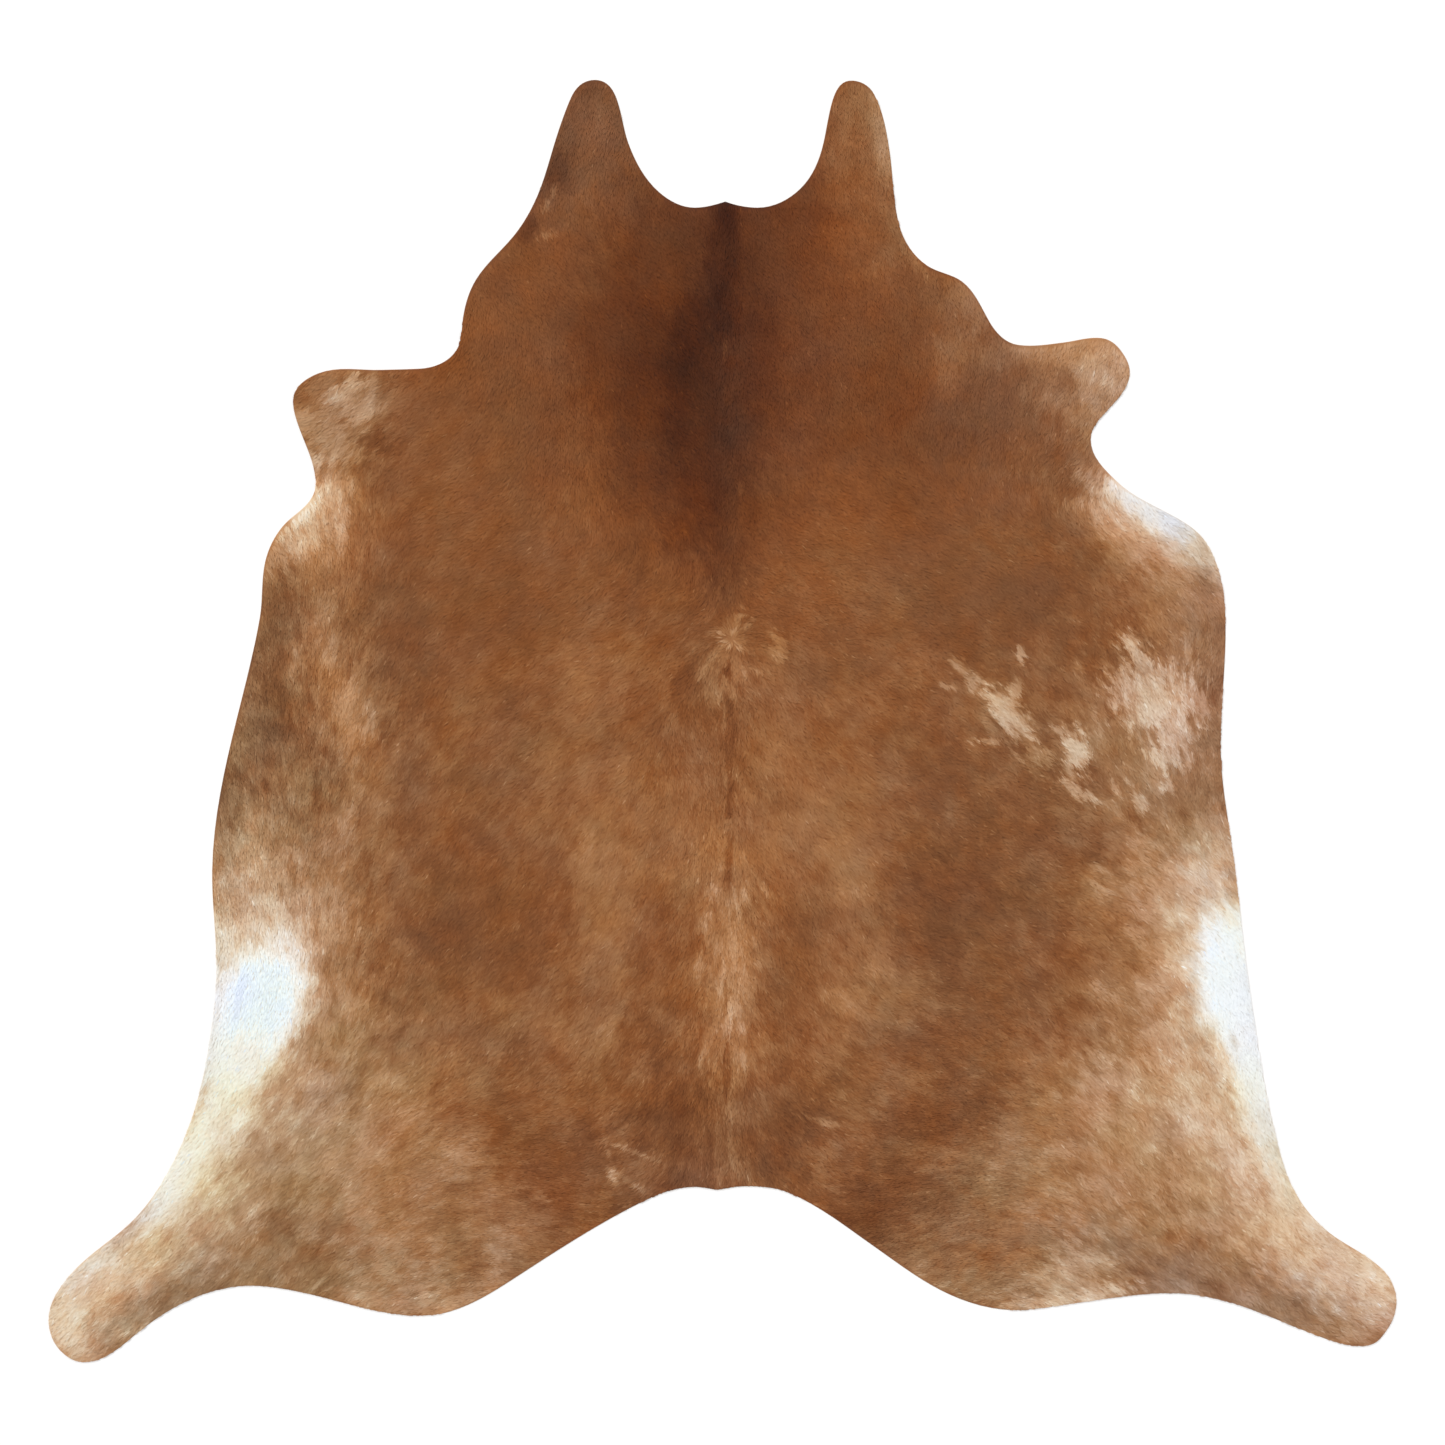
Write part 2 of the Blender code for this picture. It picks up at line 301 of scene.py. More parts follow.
LEFT_HIND_PATCHES = (
    Patch("left haunch, outer", -570, -650, 280, 190, 60, 0.555, 1.2),
    Patch("left thigh", -745, -712, 380, 250, 50, 0.635, 1.2),
    Patch("left shank", -970, -895, 340, 170, 42, 0.72, 0.9),
    Patch("left shank, upper", -885, -805, 220, 90, 50, 0.72, 1.1),
    Patch("left hind foot", -1078, -992, 130, 80, 84, 0.82, 1.0),
    Patch("left hind foot, upper edge", -1068, -912, 140, 50, 46, 0.82, 1.0),
    Patch("left hind foot, lowest", -1045, -1040, 90, 30, 0, 0.68, 1.0),
    Patch("left shank, lower", -960, -960, 150, 50, 34, 0.64, 1.1, 0.2),
    Patch("left shank, lower edge", -880, -935, 180, 44, 24, 0.54, 1.0, 0.2),
    Patch("left shank, pale", -845, -848, 120, 70, 45, 0.72, 1.1),
    Patch("left shank, peach", -957, -888, 130, 66, 42, 0.695, 1.1),
    Patch("left shank, end of the cream", -903, -797, 80, 40, 50, 0.80, 1.0, 0.1),
    Patch("left thigh, brown", -788, -778, 80, 44, 45, 0.595, 1.1, 0.2),
    Patch("left thigh, dark edge", -795, -925, 90, 34, 0, 0.46, 1.0, 0.2),
    Patch("left thigh, lower edge", -710, -895, 220, 70, -8, 0.53, 1.0),
    Patch("left buttock, golden", -520, -900, 220, 120, 0, 0.57, 1.1, 0.3),
    Patch("left buttock, edge", -490, -962, 300, 50, -4, 0.62, 0.9, 0.3),
    Patch("left buttock, upper", -540, -760, 200, 120, 10, 0.575, 1.2),
    Patch("left buttock, inner", -370, -830, 160, 120, 0, 0.50, 1.2),
    Patch("left buttock, light spot", -368, -850, 90, 60, -30, 0.61, 1.1),
    Patch("left hip, lower dark", -395, -668, 100, 70, 0, 0.42, 1.1),
    Patch("left hip, upper dark", -400, -420, 70, 60, 0, 0.38, 1.1),
    Patch("left hip, golden", -452, -712, 80, 60, 0, 0.57, 1.1),
    Patch("left buttock, pale", -600, -862, 70, 50, 0, 0.60, 1.1),
    Patch("left buttock, brown", -518, -850, 80, 70, 0, 0.51, 1.1),
    Patch("left buttock, light edge", -400, -935, 110, 40, 30, 0.60, 1.1),
    Patch("left buttock, inner dark", -350, -790, 80, 50, 40, 0.44, 1.1),
    Patch("left hip", -390, -665, 110, 110, 0, 0.42, 1.3),
    Patch("left hip, pale", -448, -712, 90, 60, 0, 0.56, 1.1),
    Patch("tail root, dark", -55, -755, 70, 40, 0, 0.36, 1.1),
    Patch("left hip, dark", -240, -740, 150, 110, 0, 0.38, 1.2),
    Patch("left croup, dark", -85, -670, 200, 130, 80, 0.32, 1.2),
    Patch("left croup, golden", -240, -490, 170, 110, 0, 0.48, 1.3),
    Patch("left croup, dark edge", -205, -800, 90, 40, 30, 0.38, 1.1),
    Patch("left croup, light", -140, -742, 110, 60, 20, 0.46, 1.1),
    Patch("left hip, brown", -300, -560, 80, 60, 0, 0.42, 1.1),
    Patch("olive of the left thigh", -740, -738, 100, 80, 50, 0.605, 1.1, 0.2),
    Patch("dark of the left thigh", -735, -835, 80, 50, 40, 0.47, 1.1, 0.4),
    Patch("dark of the left buttock", -660, -872, 70, 44, 10, 0.46, 1.1, 0.3),
    Patch("left thigh, small light", -740, -880, 60, 40, 0, 0.56, 1.1, 0.2),
    Patch("dark of the haunch", -636, -532, 70, 46, 110, 0.43, 1.1, 0.3),
    Patch("dark of the haunch, lower", -584, -582, 70, 44, 60, 0.48, 1.1, 0.3),
    Patch("dark of the haunch, upper", -610, -460, 60, 50, 90, 0.44, 1.1, 0.3),
    Patch("pale of the haunch", -600, -495, 80, 60, 30, 0.56, 1.1, 0.4),
    Patch("haunch, light spot", -560, -635, 80, 60, 60, 0.60, 1.1, 0.2),
    Patch("pale of the thigh", -590, -700, 100, 60, 40, 0.60, 1.1, 0.4),
)

LEFT_PATCHES = (
    Patch("left ribs, dark", -470, 110, 240, 180, 20, 0.39, 1.4),
    Patch("left belly band, upper", -655, 165, 240, 60, 88, 0.51, 1.0, 0.2),
    Patch("left belly band, lower", -632, 32, 230, 106, 108, 0.58, 1.1, 0.25),
    Patch("left belly band, foot", -570, -110, 100, 60, 114, 0.49, 1.1, 0.25),
    Patch("left belly, dark", -708, -80, 260, 80, 96, 0.38, 1.1, 0.25),
    Patch("left belly, light spot", -690, 25, 50, 40, 90, 0.46, 1.1, 0.2),
    Patch("left belly edge, upper", -728, 150, 170, 54, 80, 0.385, 1.0, 0.2),
    Patch("left belly edge", -785, 10, 220, 50, 76, 0.49, 1.0, 0.3),
    Patch("left edge, lower", -825, -140, 110, 30, 84, 0.40, 1.0),
    Patch("left flank, dark", -430, -335, 290, 170, 0, 0.37, 1.4),
    Patch("outside the left halo", -655, -400, 440, 120, 84, 0.57, 1.1, 0.2),
    Patch("left flank, tan", -780, -222, 150, 130, 80, 0.62, 1.0, 0.15),
    Patch("left flank, pale streak", -652, -228, 120, 56, -110, 0.56, 1.1, 0.2),
    Patch("left flank, greyish", -702, -118, 80, 56, 90, 0.48, 1.1, 0.2),
    Patch("left belly, golden brown", -642, 102, 70, 44, 80, 0.53, 1.1, 0.2),
    Patch("left flank, olive", -705, -180, 110, 70, 100, 0.52, 1.1, 0.3),
    Patch("left halo", -775, -450, 450, 200, 78, 0.67, 0.9, 0.1),
    Patch("left halo, top", -778, -338, 146, 66, -10, 0.70, 1.0, 0.1),
    Patch("left halo, arc", -722, -318, 80, 30, -50, 0.76, 0.9, 0.15),
    Patch("left halo, edge", -806, -362, 60, 46, 80, 0.80, 1.0, 0.1),
    Patch("left cream below", -812, -645, 260, 86, 60, 0.79, 0.9, 0.12),
    Patch("left white border", -771, -480, 246, 142, 61, 0.92, 0.6, 0.08),
    Patch("left white", -768, -472, 214, 134, 61, 0.962, 0.7, 0.08),
    Patch("left white, shaded", -793, -462, 100, 12, 80, 0.985, 1.4, 0.05),
    # Painted shade: the left white patch is darker and greyer along the rug's outer edge.
    Patch("left white, outer edge in painted shade", -850, -485, 180, 44, 84, 0.88, 1.2),
    Patch("left white, lower", -800, -572, 132, 68, 60, 0.915, 0.8, 0.12),
    Patch("left thigh, cream edge", -884, -722, 266, 72, 60, 0.91, 0.9, 0.12),
    Patch("left thigh, white spot", -812, -645, 60, 34, 60, 0.86, 1.0, 0.3),
)

RIGHT_PATCHES = (
    Patch("right flank", 720, 20, 560, 210, 88, 0.50, 1.0),
    Patch("tan behind the elbow", 728, 288, 270, 144, -34, 0.69, 1.0, 0.1),
    Patch("peach behind the elbow", 690, 314, 232, 96, -36, 0.80, 0.9, 0.1),
    Patch("streaks before the elbow", 580, 375, 60, 16, -20, 0.47, 1.0, 0.4),
    Patch("dark before the elbow", 552, 412, 100, 64, -40, 0.40, 1.0, 0.15),
    Patch("light mark before the elbow", 608, 398, 54, 22, -25, 0.60, 1.0, 0.4),
    Patch("white strip behind the elbow", 716, 345, 196, 72, -32, 0.908, 0.40, 0.05),
    Patch("cream behind the elbow", 795, 272, 110, 60, -58, 0.80, 1.0, 0.15),
    Patch("brown below the elbow", 750, 222, 110, 40, -40, 0.57, 1.1),
    Patch("right edge, dark", 790, 160, 140, 60, -85, 0.46),
    Patch("right edge, dark, upper", 798, 190, 90, 44, -80, 0.50, 1.0),
    Patch("right edge, dark, lower", 765, -140, 90, 50, 88, 0.51),
    Patch("right edge, tan", 826, -212, 130, 56, -85, 0.68, 1.0),
    Patch("right ribs, dark", 500, 210, 300, 200, 0, 0.385, 1.4),
    Patch("right loin, dark", 395, -135, 270, 170, -40, 0.39, 1.4),
    Patch("right flank, lower dark", 600, -175, 200, 90, -30, 0.415, 1.2),
    Patch("golden round the patches", 690, 20, 200, 170, 60, 0.51, 1.2, 0.3),
    Patch("above the large patch", 628, 168, 160, 100, -30, 0.385, 1.1),
    Patch("light above the large patch", 712, 172, 90, 40, -80, 0.53, 1.0, 0.4),
    Patch("right ribs, inner dark", 365, 178, 110, 80, 80, 0.36, 1.1),
    Patch("cream band, top", 398, 82, 56, 18, -44, 0.58, 0.6, 0.5),
    Patch("cream band, top lobe", 411, 67, 36, 28, -60, 0.61, 0.5, 0.4),
    Patch("cream band, head", 481, 51, 38, 26, 68, 0.61, 0.6, 0.4),
    Patch("cream band, middle", 472, 11, 100, 47, -47, 0.655, 0.5, 0.4),
    Patch("cream band, bright", 470, 6, 96, 26, -46, 0.71, 0.7, 0.5),
    Patch("cream band, left foot", 438, -8, 40, 18, -60, 0.53, 0.9, 0.6),
    Patch("cream band, end", 508, -48, 76, 34, -28, 0.56, 0.7, 0.8),
    Patch("cream band, below", 432, -34, 44, 10, -5, 0.56, 0.6, 0.7),
    Patch("small cream streak", 490, 106, 34, 14, -78, 0.62, 0.5, 0.5),
    Patch("small cream streak, left", 368, 56, 24, 9, -20, 0.56, 0.6, 0.6),
    Patch("narrow cream patch, head", 566, -20, 50, 12, -18, 0.61, 0.5, 0.3),
    Patch("narrow cream patch", 581, -49, 76, 42, -75, 0.72, 0.5, 0.4),
    Patch("narrow cream patch, neck", 570, -86, 44, 20, -62, 0.64, 0.5, 0.5),
    Patch("narrow cream patch, foot", 588, -118, 60, 18, -38, 0.65, 0.5, 0.6),
    Patch("large cream patch", 706, 38, 146, 112, -20, 0.71, 0.5, 0.36),
    Patch("large cream patch, bright", 714, 24, 104, 62, -55, 0.76, 1.0, 0.4),
    Patch("large cream patch, top", 678, 108, 72, 30, -56, 0.71, 0.7, 0.5),
    Patch("large cream patch, right", 784, 26, 62, 22, -80, 0.65, 0.7, 0.5),
    Patch("large cream patch, foot", 738, -30, 76, 42, -80, 0.70, 0.6, 0.4),
    Patch("large cream patch, heel", 729, -62, 60, 28, -12, 0.66, 0.6, 0.5),
    Patch("small cream fleck", 727, -104, 40, 18, -80, 0.67, 0.5, 0.6),
    Patch("small cream fleck, left", 682, -130, 50, 20, -60, 0.67, 0.5, 0.6),
    Patch("small cream fleck, far left", 643, -107, 34, 12, -60, 0.64, 0.6, 0.6),
    Patch("light streaks left of the patch", 600, 42, 60, 18, -75, 0.49, 0.8, 0.7),
    Patch("small light streak above", 765, 108, 60, 16, -70, 0.56, 0.7, 0.7),
)

RIGHT_HIND_PATCHES = (
    Patch("right flank, dark", 402, -340, 260, 170, -60, 0.315, 1.3),
    Patch("right flank, darkest", 405, -370, 120, 60, 85, 0.30, 1.1),
    Patch("right flank, brown", 475, -352, 80, 60, 0, 0.44, 1.1),
    Patch("right hip, brown", 335, -440, 80, 60, 0, 0.54, 1.1),
    Patch("right haunch, inner dark", 400, -470, 200, 110, 80, 0.38, 1.3),
    Patch("right haunch", 590, -505, 260, 200, -60, 0.44),
    Patch("right thigh", 730, -675, 300, 230, -50, 0.66, 1.2),
    Patch("right halo", 796, -480, 500, 170, -72, 0.68, 1.0, 0.1),
    Patch("right halo, upper inner", 750, -325, 160, 62, -80, 0.70, 1.1),
    Patch("right thigh, pale", 768, -575, 220, 100, -66, 0.74, 1.1, 0.1),
    Patch("right thigh, edge", 822, -712, 130, 60, -55, 0.76, 1.1, 0.1),
    Patch("dark before the right halo", 703, -440, 90, 44, -82, 0.555, 1.1),
    Patch("right haunch, brown", 686, -575, 80, 50, -60, 0.585, 1.1),
    Patch("right haunch, lower brown", 600, -548, 100, 50, 0, 0.44, 1.1),
    Patch("right peach", 790, -262, 150, 100, -80, 0.71, 1.0),
    Patch("right white border", 844, -432, 262, 126, -80, 0.92, 0.6, 0.08),
    Patch("right white", 846, -430, 214, 104, -80, 0.95, 0.6, 0.08),
    Patch("right white, lower", 870, -580, 250, 64, -74, 0.93, 0.8, 0.1),
    # Painted shade: the right white patch is darker along the rug's outer edge.
    Patch("right white, outer edge in painted shade", 882, -470, 240, 44, -80, 0.89, 1.0),
    Patch("right cream, foot", 892, -690, 200, 56, -70, 0.86, 0.9, 0.1),
    Patch("right shank", 960, -860, 340, 140, -36, 0.74, 1.0),
    Patch("right hind foot", 1030, -895, 130, 90, -20, 0.745, 1.0),
    Patch("right hind foot, lower edge", 968, -1000, 130, 40, -5, 0.61, 1.0),
    Patch("right hind foot, tip", 1066, -964, 90, 54, 0, 0.73, 1.0),
    Patch("right shank, upper edge", 955, -800, 130, 40, -42, 0.78, 1.0),
    Patch("right buttock, outer", 590, -740, 260, 210, -10, 0.56, 1.1),
    Patch("right buttock", 440, -840, 230, 150, 0, 0.49),
    Patch("right buttock, lower", 450, -920, 140, 60, -10, 0.52, 1.0, 0.3),
    Patch("right buttock, light spot", 328, -908, 60, 40, -30, 0.60, 1.0),
    Patch("right shank, dark band", 770, -890, 300, 64, -28, 0.48, 1.0, 0.2),
    Patch("right shank, darkest", 800, -910, 60, 34, -60, 0.42, 1.0, 0.3),
    Patch("right shank, lower edge", 900, -960, 160, 44, -22, 0.53, 1.0),
    Patch("right buttock, dark", 272, -778, 190, 100, 0, 0.36, 1.2),
    Patch("right croup, dark spot", 242, -792, 70, 50, 0, 0.33, 1.1),
    Patch("right buttock, pink", 574, -904, 158, 84, 5, 0.69, 1.0, 0.3),
    Patch("right thigh, lower band", 715, -868, 190, 46, -20, 0.54, 1.2, 0.2),
    Patch("right buttock, golden", 500, -800, 120, 70, -20, 0.52, 1.1),
    Patch("right buttock, pale edge", 570, -945, 200, 34, 8, 0.73, 1.0, 0.3),
    Patch("right buttock, brown edge", 488, -885, 70, 50, 0, 0.48, 1.1),
    Patch("right shank, pale edge", 757, -928, 70, 32, 0, 0.60, 1.0),
    Patch("right hip, dark", 375, -628, 190, 100, 10, 0.345, 1.2),
    Patch("right croup, dark", 130, -680, 220, 110, 80, 0.37, 1.2),
    Patch("right hip, golden", 280, -470, 90, 90, 0, 0.47, 1.2),
    Patch("right hip, golden, lower", 285, -600, 90, 70, 0, 0.47, 1.2),
    Patch("right croup, light spot", 215, -457, 60, 56, 0, 0.51, 1.0, 0.6),
    Patch("right haunch, light spot", 622, -455, 56, 34, -40, 0.56, 1.0, 0.6),
    Patch("right haunch, dark spot", 520, -490, 110, 70, -40, 0.40, 1.2),
    Patch("scratch left of the tail", -150, -704, 110, 6, -22, 0.54, 0.9, 0.3),
    Patch("scratch left of the tail, lower", -163, -748, 70, 6, -34, 0.56, 0.9, 0.3),
    Patch("scratch left of the tail, upright", -188, -705, 50, 5, -70, 0.50, 0.9, 0.3),
    Patch("pale mark right of the tail", 172, -658, 60, 10, -15, 0.52, 1.0, 0.6),
    Patch("right haunch, pale", 650, -628, 160, 90, -60, 0.68, 1.1, 0.2),
    Patch("right thigh, brown", 702, -670, 70, 60, 0, 0.56, 1.1, 0.2),
    Patch("right thigh, pale spot", 642, -712, 70, 50, 0, 0.62, 1.1, 0.2),
    Patch("right thigh, small brown", 785, -762, 60, 40, 0, 0.60, 1.1, 0.2),
    Patch("right buttock, light", 466, -735, 130, 60, 80, 0.56, 1.1),
    Patch("right buttock, brown", 532, -738, 90, 56, 0, 0.485, 1.1),
    Patch("right haunch, golden", 510, -655, 100, 56, 0, 0.53, 1.1),
    Patch("right croup, edge", 190, -812, 230, 60, -35, 0.34, 1.0),
)

# Small light and dark marks: tufts, scratches and stray flecks. Each is an ellipse too. Its width is
# a share of its length, and all are equally soft.
Fleck = namedtuple("Fleck", "across along length turn tone")
FLECK_WIDTH_SHARE = 0.42
FLECK_SOFT = 1.4

FLECKS = (
    Fleck(-4, 138, 18, 100, 0.66),
    Fleck(18, 146, 20, 60, 0.60),
    Fleck(26, 166, 24, 65, 0.58),
    Fleck(42, 158, 18, 40, 0.56),
    Fleck(8, 124, 18, -40, 0.60),
    Fleck(27, 120, 22, -35, 0.60),
    Fleck(-18, 104, 26, -120, 0.56),
    Fleck(-34, 78, 26, -115, 0.56),
    Fleck(-6, 46, 26, -95, 0.56),
    Fleck(18, 44, 24, -80, 0.57),
    Fleck(36, 84, 22, -55, 0.56),
    Fleck(60, 80, 18, -20, 0.56),
    Fleck(-8, 206, 22, -70, 0.40),
    # The light flecks from here down the spine are light hairs, and partly a painted highlight where the
    # hair parts.
    Fleck(-19, -188, 30, -110, 0.58),
    Fleck(25, -306, 30, -80, 0.66),
    Fleck(38, -290, 26, -70, 0.64),
    Fleck(-27, -324, 26, -110, 0.63),
    Fleck(-14, -278, 26, -100, 0.62),
    Fleck(71, -277, 24, -60, 0.60),
    Fleck(-40, -395, 28, -110, 0.60),
    Fleck(1, -426, 34, -95, 0.65),
    Fleck(24, -440, 30, -80, 0.63),
    Fleck(17, -470, 34, -85, 0.65),
    Fleck(8, -500, 30, -90, 0.64),
    Fleck(30, -505, 24, -80, 0.63),
    Fleck(34, -560, 30, -70, 0.58),
    Fleck(-30, -545, 28, -120, 0.57),
    Fleck(12, -640, 30, -88, 0.54),
    Fleck(20, -715, 26, -85, 0.52),
    Fleck(-180, -490, 40, -125, 0.55),
    Fleck(222, -275, 26, -35, 0.57),
    Fleck(-180, -749, 22, -60, 0.66),
    Fleck(-140, -765, 18, -30, 0.64),
    Fleck(-278, 866, 24, 60, 0.47),
    Fleck(-291, 841, 22, 60, 0.47),
    Fleck(-286, 796, 26, 10, 0.48),
    Fleck(-300, -780, 24, 170, 0.56),
    Fleck(-482, -945, 40, -8, 0.68),
    Fleck(-684, -870, 34, -130, 0.44),
    Fleck(-735, -837, 34, -130, 0.45),
    Fleck(800, -924, 30, -20, 0.38),
    Fleck(838, -524, 20, -70, 0.80),
    Fleck(-772, 195, 26, -60, 0.36),
    Fleck(-738, 195, 24, -60, 0.40),
    Fleck(-650, 100, 40, -95, 0.64),
    Fleck(-612, 50, 40, -105, 0.63),
    Fleck(-622, 18, 36, -110, 0.62),
    Fleck(-585, -20, 34, -115, 0.60),
    Fleck(618, -274, 34, -35, 0.63),
    Fleck(612, -242, 28, -25, 0.57),
    Fleck(643, -620, 40, -50, 0.60),
    Fleck(365, -925, 34, 5, 0.60),
    Fleck(480, -940, 34, 0, 0.60),
    Fleck(755, -151, 34, -60, 0.42),
    Fleck(762, 103, 24, -80, 0.62),
    Fleck(-790, -655, 50, -125, 0.90),
    Fleck(790, -640, 46, -60, 0.74),
    Fleck(745, -600, 40, -60, 0.72),
    Fleck(700, -560, 36, -50, 0.68),
)

# Where the hair is more ashen than usual, up to 1, or redder, below 0. gold above 0 is yellower and
# below 0 pinker, as the share of blue that is taken from the colour.
Tint = namedtuple("Tint", "place across along length width turn ash gold", defaults=[0.0])
TINT_SOFT = 1.2

TINTS = (
    Tint("golden spine with painted highlight", 10, -420, 420, 110, 90, -0.08),
    Tint("left flap", -215, 960, 240, 170, 80, 0.26, -0.12),
    Tint("right flap, outer side", 265, 930, 260, 60, -80, 0.16),
    # Partly painted shade: the greyish, pinkish cast where the hair right of the spine lies away from
    # the light.
    Tint("right of the spine", 12, 560, 380, 60, 90, 0.24, -0.12),
    Tint("right shoulder", 488, 535, 330, 270, -40, 0.17, -0.13),
    Tint("right foreleg, front", 568, 606, 110, 40, 0, -0.14, -0.04),
    Tint("left elbow", -620, 470, 160, 120, 80, 0.15),
    Tint("left edge", -775, 20, 560, 110, 80, 0.24, 0.07),
    Tint("left thigh", -690, -720, 560, 250, 50, 0.20, 0.12),
    Tint("left thigh, cream edge", -840, -640, 230, 120, 62, 0.0, 0.14),
    Tint("left thigh, cream edge, lower", -922, -780, 120, 60, 60, 0.0, -0.02),
    Tint("left hind foot", -1058, -996, 170, 110, 45, -0.06, -0.02),
    Tint("left shank, peach", -970, -905, 150, 60, 42, -0.20, 0.10),
    Tint("left shank, edge", -972, -822, 130, 36, 42, 0.30, -0.08),
    Tint("dark of the left thigh", -715, -850, 170, 90, 20, 0.24, 0.04),
    Tint("left haunch", -430, -300, 420, 170, 110, 0.06),
    Tint("left hip, upper", -311, -410, 120, 80, 0, 0.12),
    Tint("right edge", 803, 30, 440, 100, -88, 0.25, -0.16),
    Tint("right edge, inner", 750, -130, 180, 110, -80, 0.32),
    Tint("large cream patch", 710, 25, 190, 120, -56, 0.10, -0.10),
    Tint("left lower edge", -720, -905, 480, 90, -2, 0.30, 0.06),
    Tint("right lower edge", 800, -930, 600, 110, -16, 0.38, -0.12),
    Tint("right lower edge, inner", 700, -905, 150, 80, -5, 0.46, -0.16),
    Tint("right buttock, inner", 350, -803, 120, 80, 0, 0.28, -0.03),
    Tint("right hind foot, sole", 1070, -1008, 100, 70, 0, 0.10, -0.14),
    Tint("right hind foot, outer", 1078, -905, 90, 60, -60, -0.10, -0.02),
    Tint("right buttock, pink", 590, -905, 190, 90, 5, 0.14),
    Tint("white strip behind the elbow", 718, 338, 200, 84, -33, 0.95, -0.13),
    Tint("strip, lower end", 795, 286, 70, 50, -60, 0.22, -0.06),
    Tint("light mark before the elbow", 630, 398, 80, 44, -25, -0.12, -0.12),
    Tint("left elbow, pale edge", -690, 345, 100, 40, 50, -0.26, 0.05),
    # Painted shade: the grey of the left white patch along the rug's outer edge.
    Tint("left white, outer edge in painted shade", -848, -492, 170, 70, 84, 1.0, -0.05),
    Tint("left white", -770, -455, 200, 110, 63, 0.0, -0.02),
    Tint("left halo, top", -730, -300, 110, 90, -30, 0.12, -0.03),
    Tint("left halo, lower", -690, -575, 120, 60, 60, 0.06, 0.08),
    Tint("right white", 850, -452, 220, 110, -80, 0.9, -0.05),
    Tint("right white, lower", 882, -600, 130, 50, -76, 1.0, -0.10),
    Tint("right white, inner edge", 832, -576, 120, 26, -65, -0.12, 0.04),
    Tint("right cream, foot", 892, -640, 200, 50, -72, 0.5),
    Tint("left elbow, peach", -662, 312, 160, 110, 60, -0.20, 0.03),
    Tint("right thigh", 725, -745, 240, 140, -50, 0.12, 0.05),
    Tint("left haunch, reddish", -528, -665, 110, 80, 50, -0.12),
    Tint("peach behind the elbow", 662, 314, 190, 70, -36, -0.16, -0.06),
    Tint("right body", 520, -100, 620, 260, 88, 0.15),
    Tint("right ribs, olive", 430, 210, 300, 130, 0, 0.14),
    Tint("left body", -570, 20, 460, 160, 88, 0.13),
    Tint("red left of the spine", -85, 560, 260, 110, 85, -0.14, 0.20),
    Tint("red of the left neck", -190, 670, 230, 90, 80, -0.10),
    Tint("red left of the withers", -170, 262, 100, 60, 90, -0.08),
    Tint("red right of the withers", 140, 235, 120, 60, 0, -0.10),
    Tint("red below the neck, right", 100, 320, 220, 150, 90, -0.08),
    Tint("right of the neck", 110, 610, 380, 180, 90, -0.01, -0.12),
    Tint("red below the neck", -75, 375, 200, 90, 90, -0.09),
    Tint("red of the right neck", 170, 790, 170, 110, 90, -0.09, -0.08),
    Tint("red of the right shoulder", 270, 520, 180, 100, 80, -0.10),
    Tint("red of the left back", -200, -260, 340, 120, 80, -0.08),
    Tint("crest", 10, 770, 200, 70, 90, -0.08),
    Tint("tail root", -60, -745, 380, 100, 0, 0.18, -0.10),
    Tint("croup", 0, -665, 280, 80, 0, 0.10),
    Tint("left hip, lower", -330, -790, 230, 120, 30, 0.04, -0.08),
    Tint("croup edge", 250, -850, 260, 90, -35, 0.16),
    Tint("hip, right", 312, -690, 180, 80, 90, 0.12),
    Tint("left belly, olive", -712, -120, 220, 110, 88, 0.26, 0.05),
    Tint("left edge, lower", -815, -145, 140, 80, 84, 0.40, 0.04),
    Tint("left edge, upper", -738, 130, 230, 70, 80, 0.24, 0.02),
    Tint("left belly band, golden", -612, 10, 240, 66, 110, -0.08, 0.04),
    Tint("left shank, lower edge", -900, -948, 260, 60, 26, 0.45),
    Tint("left haunch, olive", -665, -650, 170, 110, 50, 0.28),
    Tint("left buttock", -380, -870, 140, 90, -30, 0.16),
    Tint("right buttock", 455, -720, 200, 120, 90, 0.22),
    Tint("right buttock, lower", 455, -935, 140, 60, 0, 0.30),
    Tint("right hip", 360, -400, 440, 190, 88, 0.16, -0.02),
    Tint("right haunch", 570, -430, 170, 90, 90, 0.08),
    Tint("right back", 315, -225, 130, 70, 90, 0.12),
    Tint("left elbow, red", -600, 285, 160, 80, 90, -0.14),
    Tint("red beside the whorl", -170, 120, 110, 90, 0, -0.12),
)

# The five sheets of locks that make the coat, from the skin up. Roots grow on a square lattice of
# this spacing, turned by turn. A lock's rise is how far its tip stands above its root.
Layer = namedtuple("Layer", "name spacing length width rise turn seed")

LAYERS = (
    Layer("undercoat", 5.6, 10.0, 3.8, 1.1, 11, 101),
    Layer("coat_lower", 5.6, 10.5, 3.4, 1.4, 47, 202),
    Layer("coat_middle", 5.6, 11.0, 3.1, 1.6, 83, 303),
    Layer("coat_upper", 5.6, 12.0, 2.8, 1.8, 119, 404),
    Layer("guard_hair", 5.6, 13.0, 2.4, 2.1, 155, 505),
)


def shade(red, green, blue):
    """A screen colour from its three numbers out of 255."""
    return (red / 255, green / 255, blue / 255)


def linear(colour):
    """A screen colour as the light it stands for, by the usual screen curve, with full opacity."""
    colour = np.array(colour)
    light = np.where(colour <= 0.04045, colour / 12.92, ((colour + 0.055) / 1.055) ** 2.4)
    return (*light, 1.0)


